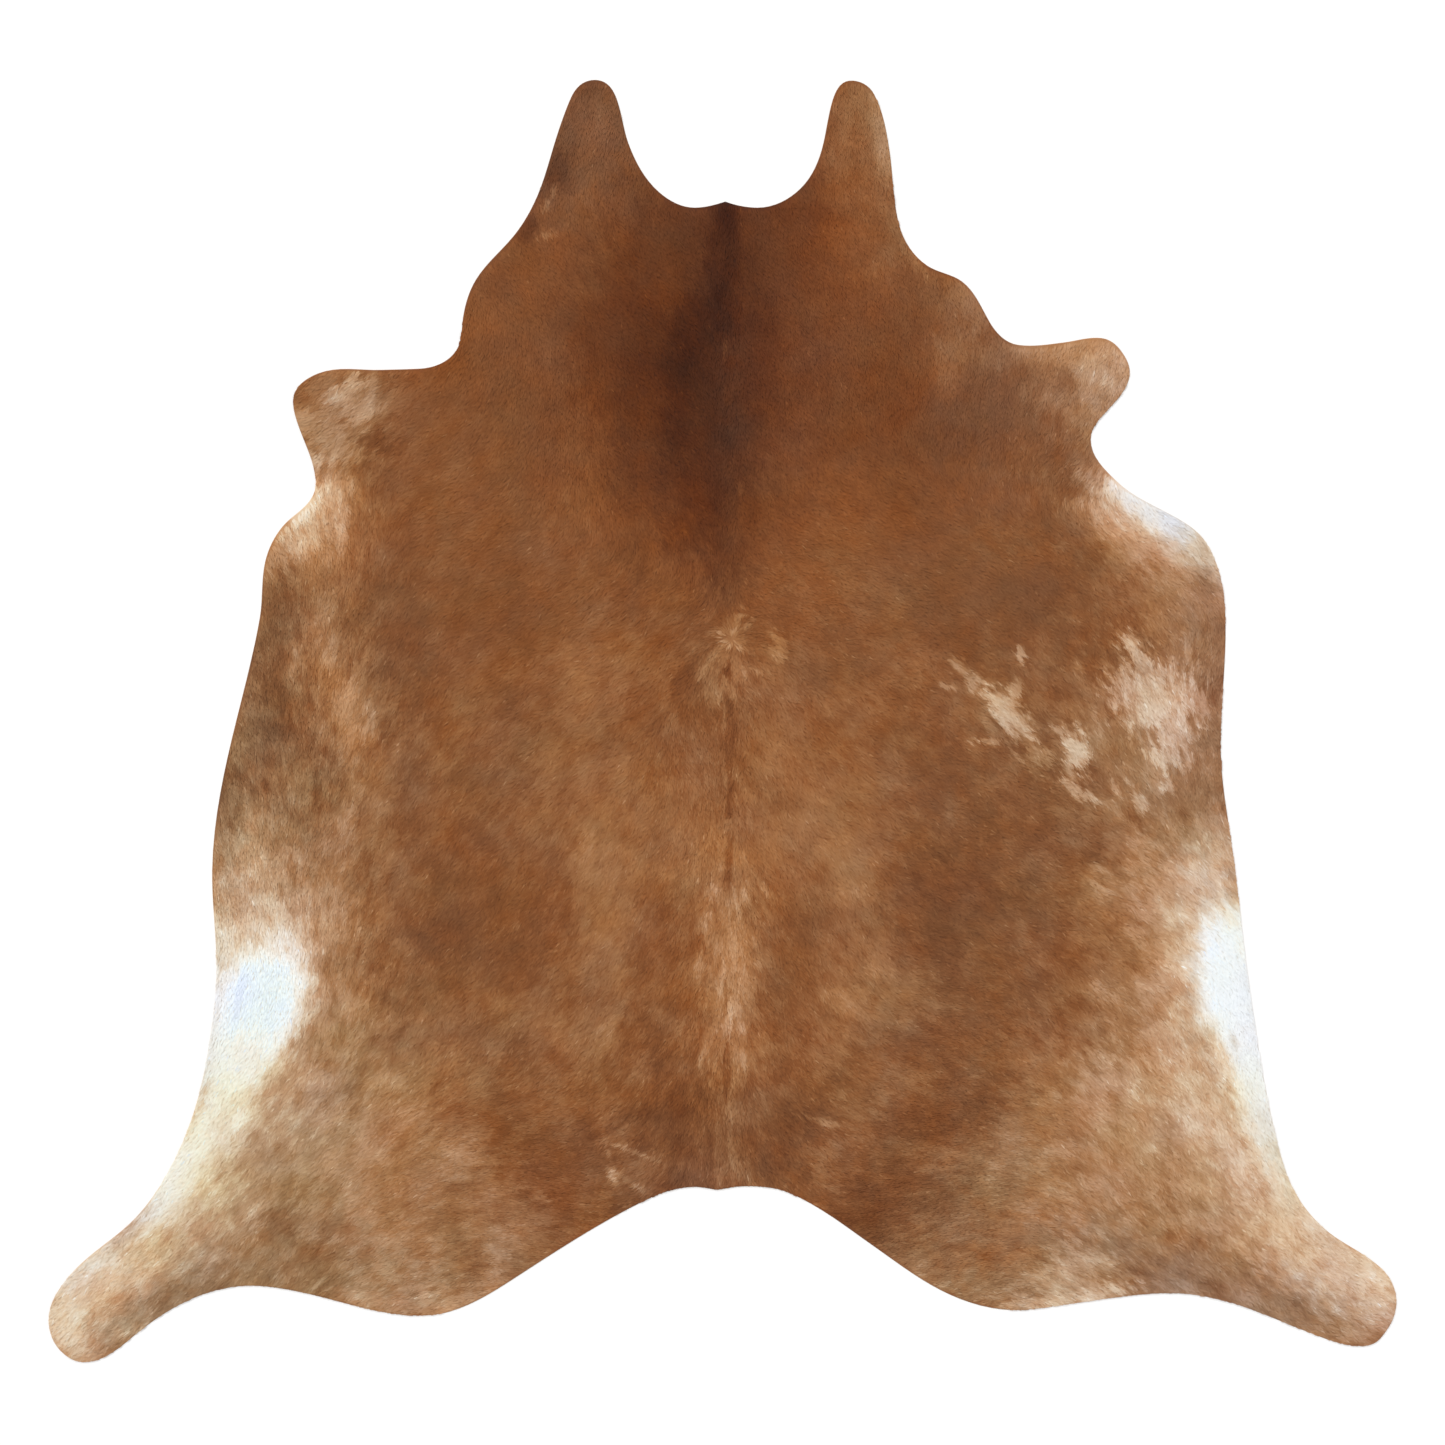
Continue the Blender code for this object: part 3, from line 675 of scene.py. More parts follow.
def colour_setting(name, description, colour):
    return bpy.props.FloatVectorProperty(
        name=name,
        description=description,
        subtype="COLOR_GAMMA",
        size=3,
        min=0.0,
        max=1.0,
        default=colour,
    )


def length_setting(name, description, length):
    return bpy.props.FloatProperty(
        name=name, description=description, default=length, min=0.0, unit="LENGTH"
    )


class RugSettings(bpy.types.PropertyGroup):
    """The sizes and colours of the rug that a user would change."""

    leather: length_setting("Leather", "Thickness of the tanned skin", 2.0 * MM)
    skin_step: length_setting("Skin step", "Spacing of the points of the skin", 15.0 * MM)
    overhang: length_setting("Overhang", "How far a lock's tip may pass the cut edge", 0.2 * MM)

    black_brown: colour_setting("Black brown", "Hair of tone 0", shade(44, 20, 11))
    dark_chestnut: colour_setting("Dark chestnut", "Hair of tone 0.15", shade(83, 42, 20))
    chestnut: colour_setting("Chestnut", "Hair of tone 0.3", shade(112, 63, 32))
    brown: colour_setting("Brown", "Hair of tone 0.42", shade(138, 84, 46))
    golden: colour_setting("Golden brown", "Hair of tone 0.55", shade(168, 118, 76))
    tan: colour_setting("Tan", "Hair of tone 0.68", shade(198, 155, 118))
    cream: colour_setting("Cream", "Hair of tone 0.8", shade(225, 200, 170))
    ivory: colour_setting("Ivory", "Hair of tone 0.9", shade(240, 232, 218))
    white: colour_setting("White", "Hair of tone 0.95", shade(246, 246, 240))
    cold_white: colour_setting("Cold white", "Hair of tone 0.975", shade(238, 249, 253))
    shaded_white: colour_setting("Shaded white", "Hair of tone 1", shade(226, 234, 244))
    suede: colour_setting("Suede", "The flesh side", shade(206, 190, 166))
    cut_edge: colour_setting("Cut edge", "The leather where the knife went", shade(186, 158, 126))
    floor: colour_setting("Floor", "The floor", shade(253, 253, 253))


class Field:
    """Values on a square grid, read between its points with bilinear weights."""

    def __init__(self, values, corner, step):
        self.values = values
        self.corner = corner
        self.step = step

    def at(self, x, y):
        rows, columns = self.values.shape[:2]
        # Just short of the last point, so that every place has a point after it
        last = np.array([columns, rows]) - 1.001
        u = np.clip((x - self.corner[0]) / self.step, 0, last[0])
        v = np.clip((y - self.corner[1]) / self.step, 0, last[1])
        i, j = u.astype(int), v.astype(int)
        s, t = u - i, v - j
        if self.values.ndim == 3:
            s, t = s[..., None], t[..., None]
        near = self.values[j, i] * (1 - s) + self.values[j, i + 1] * s
        far = self.values[j + 1, i] * (1 - s) + self.values[j + 1, i + 1] * s
        return near * (1 - t) + far * t

    def points(self):
        rows, columns = self.values.shape[:2]
        return grid_points(self.corner, self.step, columns, rows)


def grid_points(corner, step, columns, rows):
    """The places of a grid's points: the x of each and the y of each, row by row."""
    return np.meshgrid(corner[0] + step * np.arange(columns), corner[1] + step * np.arange(rows))


def grid_over_hide(step, margin):
    """The corner, columns and rows of a grid that passes the hide by a margin all round."""
    corner = LOW[:2] - margin
    columns, rows = (np.ceil((HIGH[:2] + margin - corner) / step).astype(int) + 1).tolist()
    return corner, columns, rows


def below(value, border, fade):
    """1 where a value is well below a border and 0 well above it.

    It is a logistic curve: 1 over 1 plus e to the power of the way past the border. The way is counted
    in fades and ends at 30, where the curve is flat.
    """
    return 1 / (1 + np.exp(np.clip((value - border) / fade, -30, 30)))


# The noise repeats after this many cells, and the gain makes its spread about 1
NOISE_CELLS = 512
NOISE_GAIN = 3.8


def noise(x, y, cell, seed):
    """Smooth noise of mean 0 and spread about 1.

    Each corner of a square cell has a slope in a random direction, and the four slopes are blended
    by 6t^5 - 15t^4 + 10t^3 in both directions.
    """
    u, v = x / cell, y / cell
    i, j = np.floor(u).astype(int), np.floor(v).astype(int)
    s, t = u - i, v - j
    angles = np.random.default_rng(seed).uniform(0, 2 * np.pi, (NOISE_CELLS, NOISE_CELLS))
    cosines, sines = np.cos(angles), np.sin(angles)

    def slope(di, dj):
        corner = ((i + di) % NOISE_CELLS, (j + dj) % NOISE_CELLS)
        return cosines[corner] * (s - di) + sines[corner] * (t - dj)

    blend_u = s**3 * (s * (s * 6 - 15) + 10)
    blend_v = t**3 * (t * (t * 6 - 15) + 10)
    near = slope(0, 0) * (1 - blend_u) + slope(1, 0) * blend_u
    far = slope(0, 1) * (1 - blend_u) + slope(1, 1) * blend_u
    return (near * (1 - blend_v) + far * blend_v) * NOISE_GAIN


# The foot of the solid's upright wall lies between these shares of the hide's height
FOOT_LOW = 0.1
FOOT_HIGH = 0.5


def outline_ring():
    """The hide's outline seen from above, counter-clockwise, from the upright wall of the solid.

    A triangle of the wall with two corners at the wall's foot and one above has an edge of the
    outline there. Each edge is followed by the one that starts nearest its end. They are put in
    order by pointer doubling: each counts its steps to the first edge, twice as far each time.
    """
    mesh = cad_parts["hide"].data
    mesh.calc_loop_triangles()
    places = np.empty(3 * len(mesh.vertices))
    mesh.vertices.foreach_get("co", places)
    corners = np.empty(3 * len(mesh.loop_triangles), dtype=int)
    mesh.loop_triangles.foreach_get("vertices", corners)
    triangles = places.reshape(-1, 3)[corners.reshape(-1, 3)]
    height = triangles[:, :, 2] / HIGH[2]
    at_foot = (height > FOOT_LOW) & (height < FOOT_HIGH)
    edges = []
    for start in range(3):
        end, apex = (start + 1) % 3, (start + 2) % 3
        on_outline = at_foot[:, start] & at_foot[:, end] & (height[:, apex] > FOOT_HIGH)
        edges.append(triangles[on_outline][:, (start, end), :2])
    starts, ends = np.concatenate(edges).transpose(1, 0, 2)
    following = np.abs(ends[:, None] - starts[None]).sum(-1).argmin(1)
    steps = np.ones(len(starts), dtype=int)
    steps[0] = 0
    following[0] = 0
    for _ in range(int(np.ceil(np.log2(len(starts))))):
        steps = steps + steps[following]
        following = following[following]
    return starts[np.argsort(-steps)]


def distance_to_outline(x, y, ring):
    """How far each place is from the outline, negative on the hide.

    The distance is the least to any straight piece of the ring. A place is on the hide if a line
    from it to the right crosses the ring an odd number of times. The places are taken in lots, to
    save memory.
    """
    lot_size = 200
    ring = ring.astype(np.float32)
    after = np.roll(ring, -1, axis=0)
    side = after - ring
    places = np.stack([x.ravel(), y.ravel()], axis=-1).astype(np.float32)
    distances = []
    for lot in np.array_split(places, len(places) // lot_size + 1):
        gap = lot[:, None] - ring
        share = np.clip((gap * side).sum(-1) / (side**2).sum(-1), 0, 1)
        distance = np.sqrt(((gap - share[..., None] * side) ** 2).sum(-1).min(1))
        above = ring[:, 1] > lot[:, 1, None]
        above_after = after[:, 1] > lot[:, 1, None]
        crossing_x = ring[:, 0] + gap[..., 1] * side[:, 0] / np.where(side[:, 1] == 0, 1, side[:, 1])
        crossings = ((above != above_after) & (crossing_x > lot[:, 0, None])).sum(1)
        distances.append(np.where(crossings % 2, -distance, distance))
    return np.concatenate(distances).reshape(x.shape)


# Keeps a division by a length of 0 from failing
NEARLY_NOTHING = 1e-9


def lay_direction(x, y):
    """The way the hair runs at each place, as a unit vector.

    It is the mean of the guides' directions, each weighted by a bell curve of its reach. Near the
    spine it turns straight to the tail, and near the whorl it turns away from the whorl's middle.
    """
    total = np.zeros((*x.shape, 2))
    for guide in RIGHT_LAY + LEFT_LAY:
        away = np.hypot(x - guide.across * MM, y - guide.along * MM) / (guide.reach * MM)
        heading = np.radians(guide.heading)
        pull = np.exp(-(away**2)) + FAR_PULL * np.exp(-away / FAR_REACHES)
        total += pull[..., None] * (np.cos(heading), np.sin(heading))
    total /= np.linalg.norm(total, axis=-1, keepdims=True)
    on_spine = np.exp(-(((x - SPINE_ACROSS * MM) / (SPINE_HALF_WIDTH * MM)) ** 2))[..., None]
    total = total * (1 - on_spine) + on_spine * (0.0, -1.0)
    from_whorl = np.stack([x - WHORL_ACROSS * MM, y - WHORL_ALONG * MM], axis=-1)
    away = np.linalg.norm(from_whorl, axis=-1, keepdims=True) + NEARLY_NOTHING
    in_whorl = np.exp(-((away / (WHORL_RADIUS * MM)) ** 2))
    total = total * (1 - in_whorl) + in_whorl * from_whorl / away
    return total / (np.linalg.norm(total, axis=-1, keepdims=True) + NEARLY_NOTHING)


def combed(values, lay, reach, step):
    """A field smeared along the hair: its mean at places up to reach both ways, scaled to spread 1."""
    start_x, start_y = values.points()
    total = values.values.copy()
    for way in (1, -1):
        x, y = start_x, start_y
        for _ in range(int(reach / step)):
            direction = lay.at(x, y)
            x = x + way * step * direction[..., 0]
            y = y + way * step * direction[..., 1]
            total += values.at(x, y)
    return Field((total - total.mean()) / total.std(), values.corner, values.step)


# Streaks of the coat: smooth noise of a cell size, smeared along the hair by a reach both ways, in
# steps of COMB_STEP. They are fine, middling, broad and long.
Streaks = namedtuple("Streaks", "cell reach seed")

STREAKS = (Streaks(4, 6, 11), Streaks(8, 8, 12), Streaks(14, 14, 13), Streaks(6, 34, 15))
COMB_STEP = 4

# Clouds are plain noise: of lighter and darker hair, of more ashen and redder hair, of yellower and
# pinker hair, of what frays the edges of the tints, in radii, and of what turns the locks in clumps
Cloud = namedtuple("Cloud", "cell seed strength", defaults=[1.0])

CLOUDS = (Cloud(30, 21), Cloud(62, 22), Cloud(120, 23))
ASH_CLOUDS = (Cloud(26, 31, 0.02), Cloud(60, 32, 0.035), Cloud(140, 33, 0.035))
GOLD_CLOUD = Cloud(80, 35, 0.03)
TINT_FRAY = Cloud(20, 34, 0.2)
CLUMPS = Cloud(22, 14)


def cloud_at(x, y, cloud):
    """A cloud's noise at each place, times its strength."""
    return cloud.strength * noise(x, y, cloud.cell * MM, cloud.seed)


# The grids that hold the hair's lay and its streaks, and how far they pass the hide all round
LAY_STEP = 6
STREAK_STEP = 3
GRID_MARGIN = 30

HideMap = namedtuple("HideMap", "ring outside lay streaks clumps")


@lru_cache(maxsize=None)
def hide_map():
    """What varies over the hide, worked out once: its outline, the hair's lay and its streaks."""
    ring = outline_ring()
    step = LAY_STEP * MM
    corner, columns, rows = grid_over_hide(step, GRID_MARGIN * MM)
    x, y = grid_points(corner, step, columns, rows)
    outside = Field(distance_to_outline(x, y, ring), corner, step)
    lay = Field(lay_direction(x, y), corner, step)

    fine_step = STREAK_STEP * MM
    corner, columns, rows = grid_over_hide(fine_step, GRID_MARGIN * MM)
    x, y = grid_points(corner, fine_step, columns, rows)
    streaks = []
    for row in STREAKS:
        plain = Field(noise(x, y, row.cell * MM, row.seed), corner, fine_step)
        streaks.append(combed(plain, lay, row.reach * MM, COMB_STEP * MM))
    clumps = Field(cloud_at(x, y, CLUMPS), corner, fine_step)
    return HideMap(ring, outside, lay, streaks, clumps)


def patch_share(patch, x, y, width, soft, edge_shift):
    """How much of a patch shows at each place, from 0 to 1.

    The distance from the patch's middle is counted in radii of its ellipse. The edge's shift is
    taken off it, and the share falls from 1 to 0 across radius 1, most of it within soft radii.
    """
    turn = np.radians(patch.turn)
    dx, dy = x - patch.across * MM, y - patch.along * MM
    u = (dx * np.cos(turn) + dy * np.sin(turn)) / (patch.length * MM / 2)
    v = (dy * np.cos(turn) - dx * np.sin(turn)) / (width * MM / 2)
    radius = np.hypot(u, v) - edge_shift
    return below(radius, 1, soft / 4)


# How far a spread of the streaks and clouds shifts the edge of a fully ragged patch and of a fleck,
# in radii, and how far the tone has to be from the patch's own for all of that shift
PATCH_FRAY = 0.26
FLECK_FRAY = 0.16
FULL_FRAY_TONE = 0.05

# Hair lighter than this is calm: it has fewer streaks and clouds
CALM_TONE = 0.82
CALM_FADE = 0.06

# The long streaks show on the hind legs, which lie beyond this place along the rug
HIND_LEGS_ALONG = -620
HIND_LEGS_FADE = 50
LONG_STREAKS = 0.008


def hair_tone(x, y, stray):
    """How light the hair is at each place, with its streaks and mottles.

    Each patch in turn draws the tone towards its own. Where a streak or a cloud is light, or stray
    is above 0, a patch that lightens the hair reaches further and one that darkens it less far.
    Last the streaks and the clouds themselves are added, the long streaks on the hind legs only.
    """
    fine, middling, broad, long = (streaks.at(x, y) for streaks in hide_map().streaks)
    clouds = [cloud_at(x, y, cloud) for cloud in CLOUDS]
    streaks_and_clouds = fine + middling + broad + clouds[0] + stray
    tone = np.full(x.shape, BASE_TONE)
    patches = NECK_PATCHES + SPINE_PATCHES + FORELEG_PATCHES + LEFT_HIND_PATCHES + LEFT_PATCHES
    for patch in patches + RIGHT_PATCHES + RIGHT_HIND_PATCHES:
        shift = PATCH_FRAY * patch.ragged * np.clip((patch.tone - tone) / FULL_FRAY_TONE, -1, 1)
        share = patch_share(patch, x, y, patch.width, patch.soft, shift * streaks_and_clouds)
        tone += share * (patch.tone - tone)
    shift = FLECK_FRAY * (fine + middling + stray)
    for fleck in FLECKS:
        share = patch_share(fleck, x, y, fleck.length * FLECK_WIDTH_SHARE, FLECK_SOFT, shift)
        tone += share * (fleck.tone - tone)
    streaky, cloudy = liveliness(x, y)
    lively = below(tone, CALM_TONE, CALM_FADE)
    on_leg = below(y, HIND_LEGS_ALONG * MM, HIND_LEGS_FADE * MM)
    mottles = streaky * (fine + middling + broad) + cloudy * (clouds[0] + clouds[1] + clouds[2])
    return tone + lively * (mottles + LONG_STREAKS * on_leg * long)


# Where the coat behind the shoulders, on the rump and on the sides begins, and how far each fades in
BEHIND_FROM, BEHIND_FADE = 150, 70
RUMP_FROM, RUMP_FADE = -480, 70
SIDES_FROM, SIDES_FADE = 540, 40
SPINE_BREADTH = 80

# How strong the streaks and the clouds are on the neck, and what the rump adds to the clouds
STREAKY = 0.003
CLOUDY = 0.007
CLOUDY_RUMP = 0.004


def liveliness(x, y):
    """How strongly the coat varies: its streaks, and its clouds.

    Both are least on the neck and most on the flanks and the rump. The streaks also show along the
    spine.
    """
    behind = below(y, BEHIND_FROM * MM, BEHIND_FADE * MM)
    rump = below(y, RUMP_FROM * MM, RUMP_FADE * MM)
    side = 1 - below(np.abs(x), SIDES_FROM * MM, SIDES_FADE * MM)
    spine = behind * np.exp(-((x / (SPINE_BREADTH * MM)) ** 2))
    streaky = STREAKY * (1 + behind + np.maximum(rump, spine) * (1 - side) + side)
    cloudy = CLOUDY * (1 + behind + side) + CLOUDY_RUMP * rump * (1 - side)
    return streaky, cloudy


def hair_tint(x, y):
    """How ashen and how golden the hair is: each tint in turn draws both towards its own."""
    ash, gold = np.zeros(x.shape), np.zeros(x.shape)
    edge_shift = cloud_at(x, y, TINT_FRAY)
    for tint in TINTS:
        share = patch_share(tint, x, y, tint.width, TINT_SOFT, edge_shift)
        ash += share * (tint.ash - ash)
        gold += share * (tint.gold - gold)
    for cloud in ASH_CLOUDS:
        ash += cloud_at(x, y, cloud)
    gold += cloud_at(x, y, GOLD_CLOUD)
    return ash, gold


def new_mesh(name, points, triangles):
    """A mesh from whole arrays: the points and, for each triangle, the numbers of its corners."""
    mesh = bpy.data.meshes.new(name)
    mesh.vertices.add(len(points))
    mesh.vertices.foreach_set("co", points.astype(np.float32).ravel())
    mesh.loops.add(3 * len(triangles))
    mesh.loops.foreach_set("vertex_index", triangles.astype(np.int32).ravel())
    mesh.polygons.add(len(triangles))
    mesh.polygons.foreach_set("loop_start", np.arange(0, 3 * len(triangles), 3, dtype=np.int32))
    mesh.update(calc_edges=True)
    mesh.polygons.foreach_set("use_smooth", np.ones(len(triangles), dtype=bool))
    return mesh


def add_uv(mesh, name, corners):
    """A UV map from the place of every triangle's corner."""
    layer = mesh.uv_layers.new(name=name)
    layer.data.foreach_set("uv", corners.astype(np.float32).ravel())


def add_hair_values(mesh, tone, ash, gold, chance):
    """The attribute that the hair material reads, with a random number for each lock at its end."""
    layer = mesh.attributes.new("hair", "FLOAT_COLOR", "POINT")
    values = np.stack([tone, ash, gold, chance], axis=-1)
    layer.data.foreach_set("color", values.astype(np.float32).ravel())


def show(mesh, name, materials):
    """A mesh put in the scene as a piece, with its materials in their slots."""
    piece = bpy.data.objects.new(name, mesh)
    bpy.context.scene.collection.objects.link(piece)
    for material in materials:
        mesh.materials.append(material)
    return piece


def lattice(spacing, turn):
    """The points of a square lattice turned by an angle, as far as it covers the hide's box."""
    reach = np.hypot(*(HIGH - LOW)[:2]) / 2 + spacing
    line = np.arange(-reach, reach, spacing)
    u, v = np.meshgrid(line, line)
    turn = np.radians(turn)
    x = (u * np.cos(turn) - v * np.sin(turn)).ravel()
    y = (u * np.sin(turn) + v * np.cos(turn)).ravel()
    return x, y


# Roots: how far in from the outline they start, how far each strays from its lattice point as a share
# of the spacing, and how high they stand above the leather
ROOT_INSET = 1.5
ROOT_JITTER = 0.45
ROOT_HEIGHT = 0.2

# How far the clumps and chance turn a lock, in radians
CLUMP_TURN = 0.14
STRAY_TURN = 0.15

# How much chance varies a lock's length and width, and its rise
SIZE_SPREAD = (0.8, 1.2)
RISE_SPREAD = (0.75, 1.25)

# A lock whose tip would pass the cut edge is cut back in so many steps, but never to less than this
CUTS = 4
SHORTEST_LOCK = 1.0

# A lock's shoulders: how far along it they are, how far they hang below the line from root to tip, as
# a share of its width, and how far chance rolls it, as another
SHOULDER = 0.35
DROOP = 0.06
ROLL = 0.05

# A lock's triangles from its root, right shoulder, tip and left shoulder, and where those are on its
# own map: how far across it, and how far from root to tip
LOCK_TRIANGLES = ((0, 1, 2), (0, 2, 3))
STRAND_CORNERS = np.array([(0.5, 0.0), (1.0, SHOULDER), (0.5, 1.0), (0.0, SHOULDER)])

# Between which shares of its length a lock shows most, and takes its colour from the places there
SEEN_AT = (0.4, 0.8)

# How far chance carries a lock's tone over the edge of a patch, in spreads of the streaks, how far it
# strays from the hair round it, in shares of the streakiness, and how much lighter a pale lock is
STRAY_OVER_EDGE = 0.8
STRAY_TONE = 2.0
PALE_LOCK = 0.08


def lock_roots(layer, random):
    """The roots of a layer's locks: a jittered lattice on the hide, put in rows from the tail up."""
    x, y = lattice(layer.spacing * MM, layer.turn)
    x = x + random.uniform(-ROOT_JITTER, ROOT_JITTER, len(x)) * layer.spacing * MM
    y = y + random.uniform(-ROOT_JITTER, ROOT_JITTER, len(y)) * layer.spacing * MM
    grows = hide_map().outside.at(x, y) < -ROOT_INSET * MM
    x, y = x[grows], y[grows]
    row_height = (HIGH[1] - LOW[1]) / np.sqrt(len(x))
    order = np.lexsort((x, np.floor((y - LOW[1]) / row_height)))
    return x[order], y[order]


def lock_values(x, y, random):
    """The tone, the ash and the gold of locks seen at these places, and a random number for each.

    Chance strays a lock's tone from the hair round it: less on light hair, and not at all on white.
    """
    count = len(x)
    streaky = liveliness(x, y)[0]
    tone = hair_tone(x, y, random.normal(0, STRAY_OVER_EDGE, count))
    darkness = np.clip(4 * (1 - tone), 0, 1)
    tone += STRAY_TONE * streaky * darkness * random.normal(0, 1, count)
    pale = random.uniform(0, 1, count) < streaky
    tone = np.clip(tone + PALE_LOCK * pale, 0.0, 1.0)
    chance = random.uniform(0, 1, count)
    return (tone, *hair_tint(x, y), chance)


def grow_locks(layer, settings):
    """One layer of locks as a mesh.

    A lock is a leaf of two triangles: its root, its tip at a length along the hair's lay, and its two
    shoulders about a third of the way, half a width to either side. The tip rises above the root, and
    the shoulders hang a little below the line between.
    """
    hide = hide_map()
    random = np.random.default_rng(layer.seed)
    x, y = lock_roots(layer, random)
    count = len(x)

    direction = hide.lay.at(x, y)
    heading = np.arctan2(direction[:, 1], direction[:, 0])
    heading += CLUMP_TURN * hide.clumps.at(x, y) + random.normal(0, STRAY_TURN, count)
    along_x, along_y = np.cos(heading), np.sin(heading)
    length = layer.length * MM * random.uniform(*SIZE_SPREAD, count)
    for _ in range(CUTS):
        past = hide.outside.at(x + length * along_x, y + length * along_y) - settings.overhang
        length = np.maximum(length - np.maximum(past, 0), SHORTEST_LOCK * MM)
    width = layer.width * MM * random.uniform(*SIZE_SPREAD, count)
    rise = layer.rise * MM * random.uniform(*RISE_SPREAD, count) * length / (layer.length * MM)
    roll = random.normal(0, ROLL, count) * width

    root_z = settings.leather + ROOT_HEIGHT * MM
    shoulder_z = root_z + SHOULDER * rise - DROOP * width
    shoulder_x, shoulder_y = x + SHOULDER * length * along_x, y + SHOULDER * length * along_y
    side_x, side_y = -along_y * width / 2, along_x * width / 2
    root = np.stack([x, y, np.full(count, root_z)], axis=-1)
    right = np.stack([shoulder_x - side_x, shoulder_y - side_y, shoulder_z - roll], axis=-1)
    tip = np.stack([x + length * along_x, y + length * along_y, root_z + rise], axis=-1)
    left = np.stack([shoulder_x + side_x, shoulder_y + side_y, shoulder_z + roll], axis=-1)
    points = np.stack([root, right, tip, left], axis=1).reshape(-1, 3)
    first = 4 * np.arange(count)[:, None]
    triangles = np.stack([first + corners for corners in LOCK_TRIANGLES], axis=1).reshape(-1, 3)
    mesh = new_mesh(layer.name, points, triangles)

    seen = random.uniform(*SEEN_AT, count) * length
    values = lock_values(x + seen * along_x, y + seen * along_y, random)
    add_hair_values(mesh, *(np.repeat(value, 4) for value in values))
    corners = np.ravel(LOCK_TRIANGLES)
    add_uv(mesh, "Strand", np.tile(STRAND_CORNERS[corners], (count, 1)))
    add_uv(mesh, "OFBake", bake_cells(count)[:, corners])
    return mesh


def bake_cells(count):
    """A square cell of the baked picture for each lock, row by row, and the lock's corners in it."""
    columns = int(np.ceil(np.sqrt(count)))
    number = np.arange(count)
    cell = np.stack([number % columns, number // columns], axis=-1)
    low, high = 0.12, 0.88
    corners = np.array([(low, low), (high, low), (high, high), (low, high)])
    return (cell[:, None] + corners) / columns


def inset_ring(ring, inset):
    """The outline moved inward: each point along the mean of the normals of its two sides."""
    side = np.roll(ring, -1, axis=0) - ring
    side /= np.linalg.norm(side, axis=1, keepdims=True)
    outward = np.stack([side[:, 1], -side[:, 0]], axis=-1)
    outward = outward + np.roll(outward, 1, axis=0)
    outward /= np.linalg.norm(outward, axis=1, keepdims=True)
    return ring - inset * outward


# The cut edge of the leather, from the underside up: how far in from the outline, and how high, in
# shares of the leather's thickness. From the level numbered HAIRY_FROM up it is the hair's colour.
RIM_PROFILE = ((0.45, 0.0), (0.12, 0.12), (0.0, 0.40), (0.05, 0.70), (0.30, 0.95), (0.70, 1.0))
HAIRY_FROM = 3

# The skin's slots for materials, in the order of the list that the operator makes
GRAIN_SLOT, CUT_EDGE_SLOT, SUEDE_SLOT = range(3)

# The parts of the skin's baked picture: the size and the corner of each
FLESH_PART = ((0.45, 0.98), (0.01, 0.01))
GRAIN_PART = ((0.45, 0.98), (0.475, 0.01))
RIM_PART = ((0.05, 0.98), (0.94, 0.01))

# What the skin's points carry in place of a lock's random number
MIDDLE_CHANCE = 0.5


